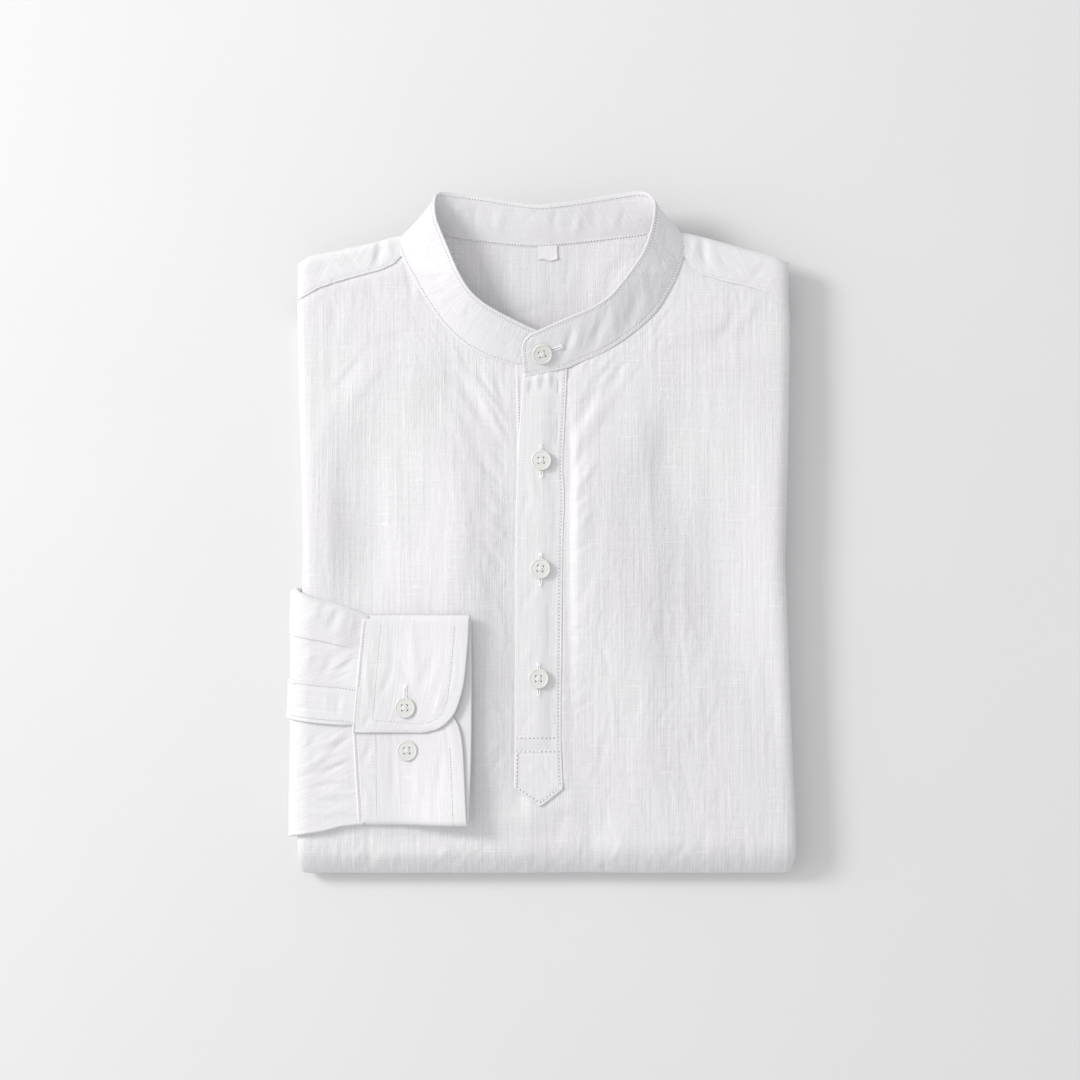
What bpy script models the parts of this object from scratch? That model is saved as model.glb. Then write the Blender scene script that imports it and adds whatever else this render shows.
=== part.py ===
"""A long-sleeved band-collar henley shirt in linen, folded flat with one cuff brought round to the front.

Metres, +Z up. The shirt lies face up on z = 0 with its collar towards +Y and its placket on the Y axis. The
origin is under the middle of the folded shirt. The tables below are in millimetres, and MM turns them to metres.
"""

import math
from collections import namedtuple

import bmesh
import bpy
from mathutils import Vector

MM = 0.001
GAP = 0.3  # between neighbouring pieces

# The fold: the chest is the upper arm, the tail folded back beneath it is the lower arm.
TOP = 22.0  # height of the chest
FOLD_Y = -180.0  # axis of the bottom fold
FOLD_RADIUS = TOP / 2
TAIL_HEM = 120.0  # how far the tail reaches back under the chest
WALL = 1.2  # cloth of the body and sleeve
EDGE_REACH = 7.0  # the side edges are rounded as half an ellipse, this wide
EDGE_DROP = 4.0  # and twice this high
TUCK = 13.0  # cloth turned in beyond the rounded edge

# The shoulder fold, where the yoke goes over to the back.
SHOULDER_REACH = 5.0
SHOULDER_MID = TOP - EDGE_DROP
BACK_HEIGHT = TOP - 2 * EDGE_DROP  # underside of the yoke's back and of the back's top

BACK_START = 99.7  # the back's seam with the yoke
BACK_STEPS_UP = (96.0, 64.0)  # between these the back rises to lie under the front
BACK_DEPTH = WALL + GAP  # below that it follows the front, this far inside it
BACK_HEM = 116.0
BACK_SET_IN = 21.0

BAND_WALL = 1.5
BAND_CLEAR = 0.7  # the band's curve bulges between its stations, so its neighbours keep this far off
BAND_CORNER = 8.0
STRIP_WALL = 1.0
STAND_WALL = 0.8
CUFF_WALL = 1.5
LABEL_WALL = 0.8
SLEEVE_HALF = 2.0  # half the thickness of the flattened sleeve
SLEEVE_SIDE_GAP = 1.3
SLEEVE_HIDDEN_REACH = 18.0  # from the side edge to the sleeve's hidden end

# A button's turned outline, from the middle of its underside to the middle of its dished face.
Turned = namedtuple("Turned", "radius height")
BUTTON_PROFILE = [
    Turned(0.0, 0.0),
    Turned(3.6, 0.0),
    Turned(5.2, 0.7),
    Turned(5.75, 1.4),
    Turned(5.6, 2.2),
    Turned(5.1, 2.5),
    Turned(4.5, 2.3),
    Turned(3.7, 1.8),
    Turned(0.0, 1.7),
]
BUTTON_HOLE_RADIUS = 0.75
BUTTON_HOLE_OFFSET = 1.25 * math.sqrt(2)  # from the button's axis
BUTTON_PIN_LENGTH = 10.0

Side = namedtuple("Side", "y left right")
SIDES = [
    Side(-191.0, -136.2, 139.8),
    Side(-177.0, -137.8, 142.0),
    Side(-115.0, -137.2, 139.6),
    Side(-42.0, -135.8, 136.4),
    Side(-15.0, -134.8, 135.3),
    Side(19.0, -135.2, 136.2),
    Side(75.0, -136.8, 137.8),
    Side(128.0, -137.9, 138.4),
    Side(145.0, -137.5, 137.3),
    Side(170.0, -136.8, 136.5),
]

Shoulder = namedtuple("Shoulder", "x y")
SHOULDER_LINE = [
    Shoulder(-137.0, 152.4),
    Shoulder(-130.0, 156.8),
    Shoulder(-116.0, 159.4),
    Shoulder(-103.0, 162.4),
    Shoulder(-90.0, 166.0),
    Shoulder(-81.0, 168.4),
    Shoulder(-70.0, 170.0),
    Shoulder(0.0, 170.0),
    Shoulder(70.0, 170.0),
    Shoulder(81.0, 169.2),
    Shoulder(90.0, 167.0),
    Shoulder(113.0, 160.6),
    Shoulder(130.0, 156.4),
    Shoulder(137.0, 152.6),
]

# Where the front meets the yoke, from each side edge in to the neck.
Seam = namedtuple("Seam", "x y")
YOKE_SEAM_LEFT = [
    Seam(-137.8, 131.2),
    Seam(-125.5, 138.1),
    Seam(-116.0, 141.4),
    Seam(-104.0, 144.8),
    Seam(-90.0, 148.6),
    Seam(-83.0, 152.0),
    Seam(-79.6, 156.0),
]
YOKE_SEAM_RIGHT = [
    Seam(79.0, 155.7),
    Seam(87.4, 146.3),
    Seam(100.4, 142.1),
    Seam(115.5, 138.7),
    Seam(125.5, 135.4),
    Seam(138.5, 127.4),
]

# The collar band's outer face: its seam and its top edge, from the end that buttons over, round the back of the
# neck, to the end beneath.
Band = namedtuple("Band", "seam_x seam_y seam_z edge_x edge_y edge_z")
BAND = [
    Band(-10.1, 88.4, 22.9, -12.3, 109.5, 30.0),
    Band(0.5, 90.7, 22.9, -3.2, 113.0, 30.6),
    Band(12.9, 93.4, 22.3, 7.3, 117.6, 31.0),
    Band(19.9, 96.4, 21.6, 14.3, 120.6, 31.4),
    Band(34.7, 102.9, 21.2, 27.3, 126.1, 32.4),
    Band(47.7, 111.3, 21.2, 37.3, 132.6, 33.2),
    Band(58.9, 120.6, 21.2, 45.0, 141.3, 33.8),
    Band(66.3, 129.8, 21.2, 50.6, 148.6, 34.4),
    Band(73.7, 142.9, 21.2, 56.0, 157.2, 35.0),
    Band(78.3, 155.8, 21.2, 59.6, 166.3, 35.2),
    Band(79.4, 165.2, 20.2, 61.9, 176.2, 35.0),
    Band(75.5, 171.2, 17.4, 62.6, 184.2, 33.6),
    Band(67.0, 170.6, 15.4, 60.4, 188.6, 31.6),
    Band(58.9, 168.4, 14.6, 55.6, 191.0, 29.6),
    Band(47.7, 166.6, 14.4, 47.0, 190.7, 27.6),
    Band(29.1, 164.4, 14.4, 29.1, 187.8, 26.4),
    Band(0.0, 161.8, 14.4, 0.0, 184.1, 26.2),
    Band(-17.3, 162.4, 14.4, -16.5, 185.6, 26.2),
    Band(-35.8, 164.4, 14.4, -33.0, 188.2, 26.8),
    Band(-47.0, 165.8, 14.4, -45.0, 189.8, 27.6),
    Band(-57.0, 167.6, 14.6, -54.6, 190.9, 29.4),
    Band(-66.5, 170.0, 15.4, -59.3, 189.8, 31.4),
    Band(-75.5, 170.6, 17.4, -60.9, 185.4, 33.6),
    Band(-80.6, 164.8, 20.2, -60.3, 177.2, 35.0),
    Band(-79.0, 156.4, 21.2, -57.9, 170.2, 35.2),
    Band(-73.0, 144.7, 21.2, -53.4, 159.3, 35.2),
    Band(-65.6, 131.7, 21.2, -48.3, 147.3, 35.0),
    Band(-56.3, 118.7, 21.2, -42.0, 136.6, 34.4),
    Band(-45.1, 107.6, 21.2, -34.0, 129.0, 33.4),
    Band(-32.1, 100.1, 21.2, -24.2, 123.2, 31.8),
    Band(-20.0, 95.9, 21.0, -13.6, 118.0, 29.8),
    Band(-12.7, 93.6, 20.9, -7.0, 115.0, 28.6),
    Band(-5.0, 92.2, 20.7, -1.0, 112.6, 27.8),
    Band(3.0, 91.9, 20.4, 4.0, 112.0, 27.4),
]
RIGHT_NECK = BAND[2:10]  # the stations that stand along the front's neckline
LEFT_NECK = BAND[24:32]

# The buttonhole strip down the front and the button stand beneath it.
Strip = namedtuple("Strip", "y left right stand_left")
STRIP = [
    Strip(-142.0, -16.0, 10.8, -14.6),
    Strip(-114.0, -15.4, 9.8, -14.6),
    Strip(-60.0, -15.2, 10.2, -14.4),
    Strip(-3.0, -14.9, 10.8, -14.2),
    Strip(20.0, -14.6, 11.6, -14.0),
    Strip(40.0, -14.0, 10.8, -14.2),
    Strip(66.0, -12.4, 12.1, -14.7),
    Strip(93.0, -10.6, 13.3, -15.2),
]
STRIP_FOOT = -141.6
STRIP_POINT = 10.4  # depth of the pointed tab below the foot's corners
STAND_FOOT = -112.0
STAND_TOP = 91.2
STAND_RIGHT = 8.0

Fastening = namedtuple("Fastening", "name x y")
STRIP_BUTTONS = [
    Fastening("button_placket_1", -1.0, 41.4),
    Fastening("button_placket_2", -1.5, -19.1),
    Fastening("button_placket_3", -2.5, -80.6),
]
COLLAR_BUTTON = Fastening("button_collar", -0.6, 101.1)
CuffButton = namedtuple("CuffButton", "name x y cuff_z")
CUFF_BUTTONS = [
    CuffButton("button_cuff_upper", -77.1, -96.7, 27.05),
    CuffButton("button_cuff_lower", -76.0, -120.8, 25.05),
]

LABEL = (-2.4, 154.4, 7.8, 160.8)  # x, y of two opposite corners

# The cuff's middle surface, from the free end of its upper flap, round both folds, to the end beneath.
Cuff = namedtuple("Cuff", "y z right")
CUFF = [
    Cuff(-110.2, 27.05, -67.0),
    Cuff(-107.6, 27.05, -58.0),
    Cuff(-102.0, 27.05, -51.6),
    Cuff(-96.0, 27.05, -48.2),
    Cuff(-84.0, 26.9, -44.8),
    Cuff(-70.0, 26.0, -43.2),
    Cuff(-58.0, 25.1, -42.2),
    Cuff(-48.0, 24.95, -41.7),
    Cuff(-46.2, 24.0, -41.2),
    Cuff(-48.0, 23.05, -40.8),
    Cuff(-80.0, 23.05, -40.4),
    Cuff(-120.0, 23.05, -40.6),
    Cuff(-158.5, 23.05, -42.0),
    Cuff(-161.4, 24.05, -42.6),
    Cuff(-158.5, 25.05, -43.2),
    Cuff(-139.0, 25.05, -44.1),
    Cuff(-118.3, 25.05, -45.3),
    Cuff(-107.8, 25.05, -47.3),
    Cuff(-100.0, 25.05, -51.6),
    Cuff(-92.0, 25.05, -56.0),
]

# The seam between cuff and sleeve.
CuffSeam = namedtuple("CuffSeam", "y x")
CUFF_SEAM = [CuffSeam(-163.0, -102.8), CuffSeam(-108.0, -106.0), CuffSeam(-45.0, -100.2)]

# The sleeve comes out of the fold at the left side, goes up round the edge and lies on the front as far as the
# cuff. Its width along Y changes with the distance from the body's side edge.
Sleeve = namedtuple("Sleeve", "reach top bottom")
SLEEVE = [
    Sleeve(-6.0, -30.0, -169.6),
    Sleeve(14.0, -36.5, -166.8),
    Sleeve(24.0, -40.0, -164.0),
    Sleeve(33.0, -43.6, -163.0),
]
GAUNTLET_TOP = (-80.9, -85.4)  # Y at the body's edge and at the cuff
GAUNTLET_FOOT = (-101.6, -106.0)

# The layers that are folded away: level, distance in from the side edges, front end, distance in from the
# shoulder line.
Layer = namedtuple("Layer", "z inset start end_inset")
HIDDEN = [
    Layer(0.0, 13.0, 126.5, 17.0),
    Layer(0.9, 10.0, 124.5, 14.0),
    Layer(2.6, 9.0, 123.4, 12.6),
    Layer(2.95, 9.0, 123.4, 12.4),
    Layer(3.0, 8.2, -180.0, 12.0),
    Layer(6.2, 8.2, -180.0, 12.4),
    Layer(6.5, 20.6, -180.0, 15.0),
    Layer(8.3, 20.6, -180.0, 15.0),
    Layer(8.35, 5.6, -179.0, 12.6),
    Layer(9.1, 4.2, -179.0, 11.6),
    Layer(9.9, 5.2, -179.0, 12.4),
    Layer(10.1, 8.4, -179.0, 14.4),
    Layer(10.3, 4.0, -179.0, 10.6),
    Layer(11.0, 2.8, -179.0, 9.4),
    Layer(11.7, 4.0, -179.0, 10.6),
    Layer(11.9, 8.0, -179.0, 13.4),
    Layer(12.1, 4.6, -179.0, 9.0),
    Layer(12.9, 3.6, -179.0, 7.6),
    Layer(13.6, 5.4, -179.0, 8.6),
    Layer(13.7, 20.6, -180.0, None),
    Layer(15.5, 20.6, -180.0, None),
    Layer(15.55, 8.2, -180.0, None),
    Layer(18.9, 8.2, -180.0, None),
]
UNDER_CHEST_END = 60.0  # where the layers under the chest stop, short of the neck
SLEEVE_SLOT = (-177.0, -171.0, -27.0, -21.0)  # along Y, where the sides leave room for the sleeve
SLEEVE_SLOT_INSET = 21.0
SLEEVE_SLOT_LEVELS = (8.0, 13.65)

# The chest's largest soft folds: middle, direction in degrees from +X, half length, half width, height.
Swell = namedtuple("Swell", "x y turn half_length half_width height")
SWELLS = [
    Swell(-100.0, 88.0, 58.0, 62.0, 20.0, 0.9),
    Swell(-62.0, 52.0, -58.0, 70.0, 22.0, 1.0),
    Swell(-44.0, -30.0, 84.0, 80.0, 20.0, 0.8),
    Swell(46.0, 46.0, 62.0, 66.0, 22.0, 1.0),
    Swell(96.0, 40.0, 88.0, 90.0, 24.0, 0.8),
    Swell(52.0, -70.0, 86.0, 88.0, 20.0, 0.9),
    Swell(98.0, -110.0, 96.0, 70.0, 22.0, 1.0),
]

LINEN = (0.83, 0.825, 0.83, 1.0)
LINEN_INSIDE = (0.76, 0.755, 0.765, 1.0)
BUTTON_COLOUR = (0.74, 0.72, 0.71, 1.0)


def clear_scene():
    for thing in list(bpy.data.objects):
        bpy.data.objects.remove(thing, do_unlink=True)


def material(name, colour, roughness):
    made = bpy.data.materials.new(name)
    made.use_nodes = True
    surface = made.node_tree.nodes["Principled BSDF"]
    surface.inputs["Base Color"].default_value = colour
    surface.inputs["Roughness"].default_value = roughness
    surface.inputs["Metallic"].default_value = 0.0
    return made


def mix(a, b, share):
    return a + (b - a) * share


def ramp(start, end, value):
    """0 before start, 1 after end, smooth between."""
    share = min(max((value - start) / (end - start), 0.0), 1.0)
    return share * share * (3 - 2 * share)


def straight(rows, at):
    """The second column at a value of the first, with straight lines between rows."""
    if at <= rows[0][0]:
        return rows[0][1]
    for a, b in zip(rows, rows[1:]):
        if at <= b[0]:
            return mix(a[1], b[1], (at - a[0]) / (b[0] - a[0]))
    return rows[-1][1]


def smooth(rows, at, column=1):
    """A column at a value of the first column, along a cubic through the rows."""
    at = min(max(at, rows[0][0]), rows[-1][0])
    last = len(rows) - 2
    i = min(max(k for k in range(last + 1) if rows[k][0] <= at), last)
    a, b = rows[i], rows[i + 1]
    before, after = rows[max(i - 1, 0)], rows[min(i + 2, last + 1)]
    step = b[0] - a[0]
    slope_a = (b[column] - before[column]) / (b[0] - before[0]) * step
    slope_b = (after[column] - a[column]) / (after[0] - a[0]) * step
    t = (at - a[0]) / step
    return (
        (2 * t**3 - 3 * t**2 + 1) * a[column]
        + (t**3 - 2 * t**2 + t) * slope_a
        + (3 * t**2 - 2 * t**3) * b[column]
        + (t**3 - t**2) * slope_b
    )


def left_edge(y):
    return smooth(SIDES, y, 1)


def right_edge(y):
    return smooth(SIDES, y, 2)


def clear_of_trim(x, y):
    """0 under the placket, sleeve and cuff, 1 away from them."""
    beside_placket = ramp(19.0, 28.0, abs(x + 2))
    beside_cuff = max(ramp(-40.0, -28.0, x), ramp(-28.0, -18.0, y), 1 - ramp(-184.0, -172.0, y))
    return beside_placket * beside_cuff


def swell(x, y):
    """Height of the soft folds above the flat chest."""
    height = 0.0
    for fold in SWELLS:
        turn = math.radians(fold.turn)
        along = (x - fold.x) * math.cos(turn) + (y - fold.y) * math.sin(turn)
        across = (y - fold.y) * math.cos(turn) - (x - fold.x) * math.sin(turn)
        far = (along / fold.half_length) ** 2 + (across / fold.half_width) ** 2
        if far < 1:
            height += fold.height * (1 - far) ** 2
    return height * clear_of_trim(x, y)


def top_z(x, y):
    return TOP + swell(x, y)


def new_object(name, vertices, faces, finish):
    """A named object from points in millimetres, with its faces pointing out."""
    mesh = bpy.data.meshes.new(name)
    mesh.from_pydata([tuple(c * MM for c in v) for v in vertices], [], faces)
    build = bmesh.new()
    build.from_mesh(mesh)
    bmesh.ops.triangulate(build, faces=build.faces[:])
    bmesh.ops.recalc_face_normals(build, faces=build.faces[:])
    build.to_mesh(mesh)
    build.free()
    mesh.materials.append(finish)
    made = bpy.data.objects.new(name, mesh)
    bpy.context.collection.objects.link(made)
    mesh.shade_smooth()
    mesh.set_sharp_from_angle(angle=math.radians(40))
    return made


def wall(name, outer, inner, finish, wrap=False):
    """Closed cloth between two grids of points. With wrap the columns form a tube; None marks a missing point."""
    rows, columns = len(outer), len(outer[0])
    spans = columns if wrap else columns - 1
    number = {}
    vertices = []
    for i in range(rows):
        for j in range(columns):
            if outer[i][j] is not None:
                number[i, j] = len(vertices)
                vertices += [outer[i][j], inner[i][j]]
    faces = []
    rims = {}
    for i in range(rows - 1):
        for j in range(spans):
            after = (j + 1) % columns
            cell = [(i, j), (i + 1, j), (i + 1, after), (i, after)]
            if any(corner not in number for corner in cell):
                continue
            quad = [number[corner] for corner in cell]
            faces.append(tuple(quad))
            faces.append(tuple(k + 1 for k in reversed(quad)))
            for pair in zip(quad, quad[1:] + quad[:1]):
                key = tuple(sorted(pair))
                rims[key] = rims.get(key, 0) + 1
    faces += [(a, b, b + 1, a + 1) for (a, b), uses in rims.items() if uses == 1]
    return new_object(name, vertices, faces, finish)


def moved_in(grid, depth):
    """A grid's points moved against its normals, which are along row step x column step."""
    rows, columns = len(grid), len(grid[0])
    moved = []
    for i in range(rows):
        line = []
        for j in range(columns):
            along_rows = Vector(grid[min(i + 1, rows - 1)][j]) - Vector(grid[max(i - 1, 0)][j])
            along_columns = Vector(grid[i][min(j + 1, columns - 1)]) - Vector(grid[i][max(j - 1, 0)])
            normal = along_rows.cross(along_columns).normalized()
            line.append(tuple(Vector(grid[i][j]) - normal * depth))
        moved.append(line)
    return moved


# Front


def neck_edge(stations):
    """The front's edge along the neck, a gap outside the band's seam."""
    points = [Vector((s.seam_x, s.seam_y)) for s in stations]
    edge = []
    for i, point in enumerate(points):
        along = points[min(i + 1, len(points) - 1)] - points[max(i - 1, 0)]
        outward = Vector((along.y, -along.x)).normalized()
        edge.append(Seam(*(point + outward * BAND_CLEAR)))
    return edge


def front_top_edge():
    """The front's top edge from left to right: yoke seam, neck, placket opening, neck, yoke seam."""
    opening_y = BAND[0].seam_y - 1.2
    left_neck = neck_edge(LEFT_NECK)
    right_neck = neck_edge(RIGHT_NECK)
    opening = [Seam(left_neck[-1].x + 1.0, opening_y), Seam(0.0, opening_y), Seam(12.0, opening_y)]
    return YOKE_SEAM_LEFT[:-1] + left_neck + opening + right_neck + YOKE_SEAM_RIGHT[1:]


def body_point(x, y_or_turn, arm, depth):
    """A point at a depth inside the folded body: arm is lower, fold (by angle) or upper."""
    if arm == "lower":
        return (x, y_or_turn, depth)
    if arm == "upper":
        return (x, y_or_turn, TOP - depth)
    radius = FOLD_RADIUS - depth
    return (
        x,
        FOLD_Y - radius * math.sin(y_or_turn),
        FOLD_RADIUS - radius * math.cos(y_or_turn),
    )


def front_section(y, flat, depth):
    """Points (x, depth) across the front, with its rounded, tucked sides, for its outer (0) or inner face."""
    left, right = left_edge(y), right_edge(y)
    reach, drop = EDGE_REACH - depth, EDGE_DROP - depth
    turned_in = 2 * EDGE_DROP - depth
    angles = [math.radians(a) for a in (-90, -45, -5, 35, 65)]
    points = [(left + EDGE_REACH + TUCK, turned_in)]
    points += [
        (left + EDGE_REACH - reach * math.cos(a), EDGE_DROP - drop * math.sin(a)) for a in angles
    ]
    points.append((left + EDGE_REACH, depth))
    points += [(x, depth) for x in flat]
    points.append((right - EDGE_REACH, depth))
    points += [
        (right - EDGE_REACH + reach * math.cos(a), EDGE_DROP - drop * math.sin(a))
        for a in reversed(angles)
    ]
    points.append((right - EDGE_REACH - TUCK, turned_in))
    return points


def front_grid(depth):
    top_edge = front_top_edge()
    flat = [p.x for p in top_edge if abs(p.x) < 126]
    grid = []
    for y in (TAIL_HEM, 60.0, 0.0, -90.0, FOLD_Y):
        grid.append([body_point(x, y, "lower", d) for x, d in front_section(y, flat, depth)])
    for degrees in (30, 60, 90, 120, 150):
        turn = math.radians(degrees)
        section = front_section(FOLD_Y - FOLD_RADIUS * math.sin(turn), flat, depth)
        grid.append([body_point(x, turn, "fold", d) for x, d in section])
    shares = [0, 0.07, 0.14, 0.21, 0.28, 0.35, 0.43, 0.51, 0.59, 0.67, 0.75, 0.83, 0.91, 1]
    for share in shares:
        line = []
        for k in range(len(front_section(0, flat, depth))):
            x, d = front_section(135, flat, depth)[k]
            end = straight(top_edge, x if d < EDGE_DROP else math.copysign(140, x))
            y = mix(FOLD_Y, end, share)
            x, d = front_section(y, flat, depth)[k]
            raised = swell(x, y) if depth == 0 else 0.0
            px, py, pz = body_point(x, y, "upper", d)
            line.append((px, py, pz + raised))
        grid.append(line)
    return grid


def make_front(finish):
    wall("front", front_grid(0.0), front_grid(WALL), finish)


# Yoke


def neck_turn(x):
    """How far round the shoulder fold, in degrees, the yoke reaches beside the neck."""
    return straight([(58, 0), (64, 28), (70, 46), (76, 62), (80, 77)], abs(x))


def back_neck(x):
    """The yoke's edge at the back of the neck, clear of the band's seam."""
    seam = sorted((s.seam_x, s.seam_y) for s in BAND[13:21])
    return smooth(seam, x) - BAND_CLEAR - 0.2


def neck_side(side):
    """How far out from the middle the band's seam reaches on one side, and a gap."""
    return max(side * s.seam_x for s in BAND) + BAND_CLEAR


def yoke_row(x, depth, half):
    """One strip of the yoke along Y: under the front, up to the fold, and over it if it is beside the neck."""
    middle = straight(SHOULDER_LINE, x) - SHOULDER_REACH
    reach, height = SHOULDER_REACH - depth, half - depth
    low, high = SHOULDER_MID - height, SHOULDER_MID + height
    start = straight([(112.0, BACK_START + GAP), (117.0, 134.5)], abs(x))
    beside_neck = abs(x) > neck_side(math.copysign(1, x)) - 0.1
    if abs(x) < 58.5:
        flat = [(x, mix(start, back_neck(x), k / 5), low) for k in range(6)]
        return flat + [None] * 6
    points = [(x, mix(start, middle, share), low) for share in (0.0, 0.5)]
    turns = 7 if beside_neck else 3
    last_turn = 180 if beside_neck else neck_turn(x)
    for k in range(turns + 1):
        turn = math.radians(last_turn * k / turns)
        points.append((x, middle + reach * math.sin(turn), SHOULDER_MID - height * math.cos(turn)))
    if not beside_neck:
        return points + [None] * 6
    seam = straight(YOKE_SEAM_LEFT if x < 0 else YOKE_SEAM_RIGHT, x) + GAP + 0.25
    raised = swell(x, seam) if depth == 0 else 0.0
    return points + [(x, mix(middle, seam, 0.5), high), (x, seam, high + raised)]


def yoke_places():
    """The yoke's strips: X and half its thickness there, which drops at the side edges."""
    places = [(0.0, EDGE_DROP)]
    for side, edge, seam in (
        (-1, -left_edge(140), YOKE_SEAM_LEFT),
        (1, right_edge(140), YOKE_SEAM_RIGHT),
    ):
        neck = neck_side(side)
        for degrees in (55, 25):
            turn = math.radians(degrees)
            reach = edge - EDGE_REACH * (1 - math.sin(turn))
            places.append((side * reach, EDGE_DROP * math.cos(turn)))
        flat = [edge - EDGE_REACH, 117.0, 112.0, neck, neck - 1.0, 76, 70, 64, 58.4, 44, 29, 14]
        flat += [abs(s.x) for s in seam if neck + 1 < abs(s.x) < 126]
        places += [(side * x, EDGE_DROP) for x in flat]
    return sorted(places)


def make_yoke(finish):
    outer = [yoke_row(x, 0.0, half) for x, half in yoke_places()]
    inner = [yoke_row(x, WALL, half) for x, half in yoke_places()]
    wall("yoke", outer, inner, finish)


# Back


def back_grid(depth):
    """The back from its seam with the yoke, down under the front, round the fold to its hem."""
    rows = []
    low, high = BACK_HEIGHT, TOP - BACK_DEPTH - WALL
    thickness = WALL - (depth - BACK_DEPTH)
    for y, z in (
        (BACK_START, low),
        (BACK_STEPS_UP[0], low),
        (mix(*BACK_STEPS_UP, 0.2), mix(low, high, 0.12)),
        (mix(*BACK_STEPS_UP, 0.8), mix(low, high, 0.88)),
        (BACK_STEPS_UP[1], high),
    ):
        rows.append((y, z + thickness))
    rows += [(y, TOP - depth) for y in (0.0, -90.0, FOLD_Y)]
    for degrees in (150, 120, 90, 60, 30):
        _, y, z = body_point(0, math.radians(degrees), "fold", depth)
        rows.append((y, z))
    rows += [(y, depth) for y in (FOLD_Y, -90.0, 0.0, BACK_HEM)]
    grid = []
    for y, z in rows:
        left, right = left_edge(y) + BACK_SET_IN, right_edge(y) - BACK_SET_IN
        grid.append([(mix(left, right, k / 6), y, z) for k in range(7)])
    return grid


def make_back(finish):
    wall("back", back_grid(BACK_DEPTH), back_grid(BACK_DEPTH + WALL), finish)


# Hidden layers


def slot_share(y):
    return ramp(SLEEVE_SLOT[0], SLEEVE_SLOT[1], y) * (1 - ramp(SLEEVE_SLOT[2], SLEEVE_SLOT[3], y))


def layer_ys(start, end):
    """Places along a side edge. Levels that start at the bottom fold share those beside the sleeve's slot."""
    if start > 0:
        return [mix(start, end, k / 13) for k in range(14)]
    shared = [-176.9, -171.0, -130.0, -90.0, -60.0, -33.0, -27.0, -21.0]
    return [start] + shared + [mix(shared[-1], end, k / 5) for k in range(1, 6)]


def layer_ring(layer):
    """One level's outline, anticlockwise from the left end of its edge nearest the bottom fold."""
    across = [k / 10 for k in range(11)]

    def end_y(x):
        if layer.end_inset is None:
            return UNDER_CHEST_END
        return min(straight(SHOULDER_LINE, x), 163 + abs(x) * 0.08) - layer.end_inset

    def left(y):
        inset = layer.inset
        if SLEEVE_SLOT_LEVELS[0] < layer.z < SLEEVE_SLOT_LEVELS[1]:
            inset = mix(inset, max(inset, SLEEVE_SLOT_INSET), slot_share(y))
        return left_edge(y) + inset

    def right(y):
        return right_edge(y) - layer.inset

    start = layer.start
    end_left, end_right = end_y(-135 + layer.inset), end_y(135 - layer.inset)
    ring = [(mix(left(start), right(start), k), start) for k in across]
    ring += [(right(y), y) for y in layer_ys(start, end_right)[1:-1]]
    end_xs = [mix(left(end_left), right(end_right), k) for k in reversed(across)]
    ring += [(x, end_y(x)) for x in end_xs]
    ring += [(left(y), y) for y in reversed(layer_ys(start, end_left)[1:-1])]
    return [(x, y, layer.z) for x, y in ring]


def make_hidden_layers(finish):
    rings = [layer_ring(layer) for layer in HIDDEN]
    count = len(rings[0])
    vertices = [p for ring in rings for p in ring]
    faces = [tuple(reversed(range(count)))]
    for i in range(len(rings) - 1):
        for j in range(count):
            k = (j + 1) % count
            faces.append((i * count + j, i * count + k, (i + 1) * count + k, (i + 1) * count + j))
    faces.append(tuple((len(rings) - 1) * count + j for j in range(count)))
    new_object("hidden_layers", vertices, faces, finish)


# Collar band


def band_line(t):
    """The band's seam and edge points at a place along it, through its stations."""
    last = len(BAND) - 1
    i = min(int(t), last - 1)
    share = t - i
    p0, p1, p2, p3 = (BAND[min(max(k, 0), last)] for k in (i - 1, i, i + 1, i + 2))
    line = [
        0.5
        * (
            2 * b
            + (c - a) * share
            + (2 * a - 5 * b + 4 * c - d) * share**2
            + (3 * b - a - 3 * c + d) * share**3
        )
        for a, b, c, d in zip(p0, p1, p2, p3)
    ]
    return Vector(line[:3]), Vector(line[3:])


def band_height_share(t):
    """The end that buttons over has a rounded top corner."""
    first, _ = band_line(0.0)
    here, edge = band_line(t)
    distance = (here - first).length
    if distance >= BAND_CORNER:
        return 1.0
    drop = BAND_CORNER - math.sqrt(BAND_CORNER**2 - (BAND_CORNER - distance) ** 2)
    return 1 - drop / (edge - here).length


def band_grid():
    places = [0.0, 0.06, 0.18, 0.36, 0.6] + [1 + k / 2 for k in range(2 * (len(BAND) - 2) + 1)]
    shares = [0, 0.25, 0.5, 0.75, 1]
    grid = []
    for t in places:
        seam, edge = band_line(t)
        top = band_height_share(t)
        grid.append([tuple(seam.lerp(edge, top * share)) for share in shares])
    return grid


def make_band(finish):
    outer = band_grid()
    wall("collar_band", outer, moved_in(outer, BAND_WALL), finish)


# Placket


def strip_lift(y):
    """The strip lies over the button stand, and down on the front below it."""
    over_stand = STAND_WALL + 2 * GAP
    return mix(GAP, over_stand, ramp(STAND_FOOT - 12, STAND_FOOT - 1, y))


def strip_top(x):
    """The strip stops just short of the collar band."""
    a, b = BAND[0], BAND[2]
    share = (x - a.seam_x) / (b.seam_x - a.seam_x)
    return mix(a.seam_y, b.seam_y, share) - GAP - 0.2


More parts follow.
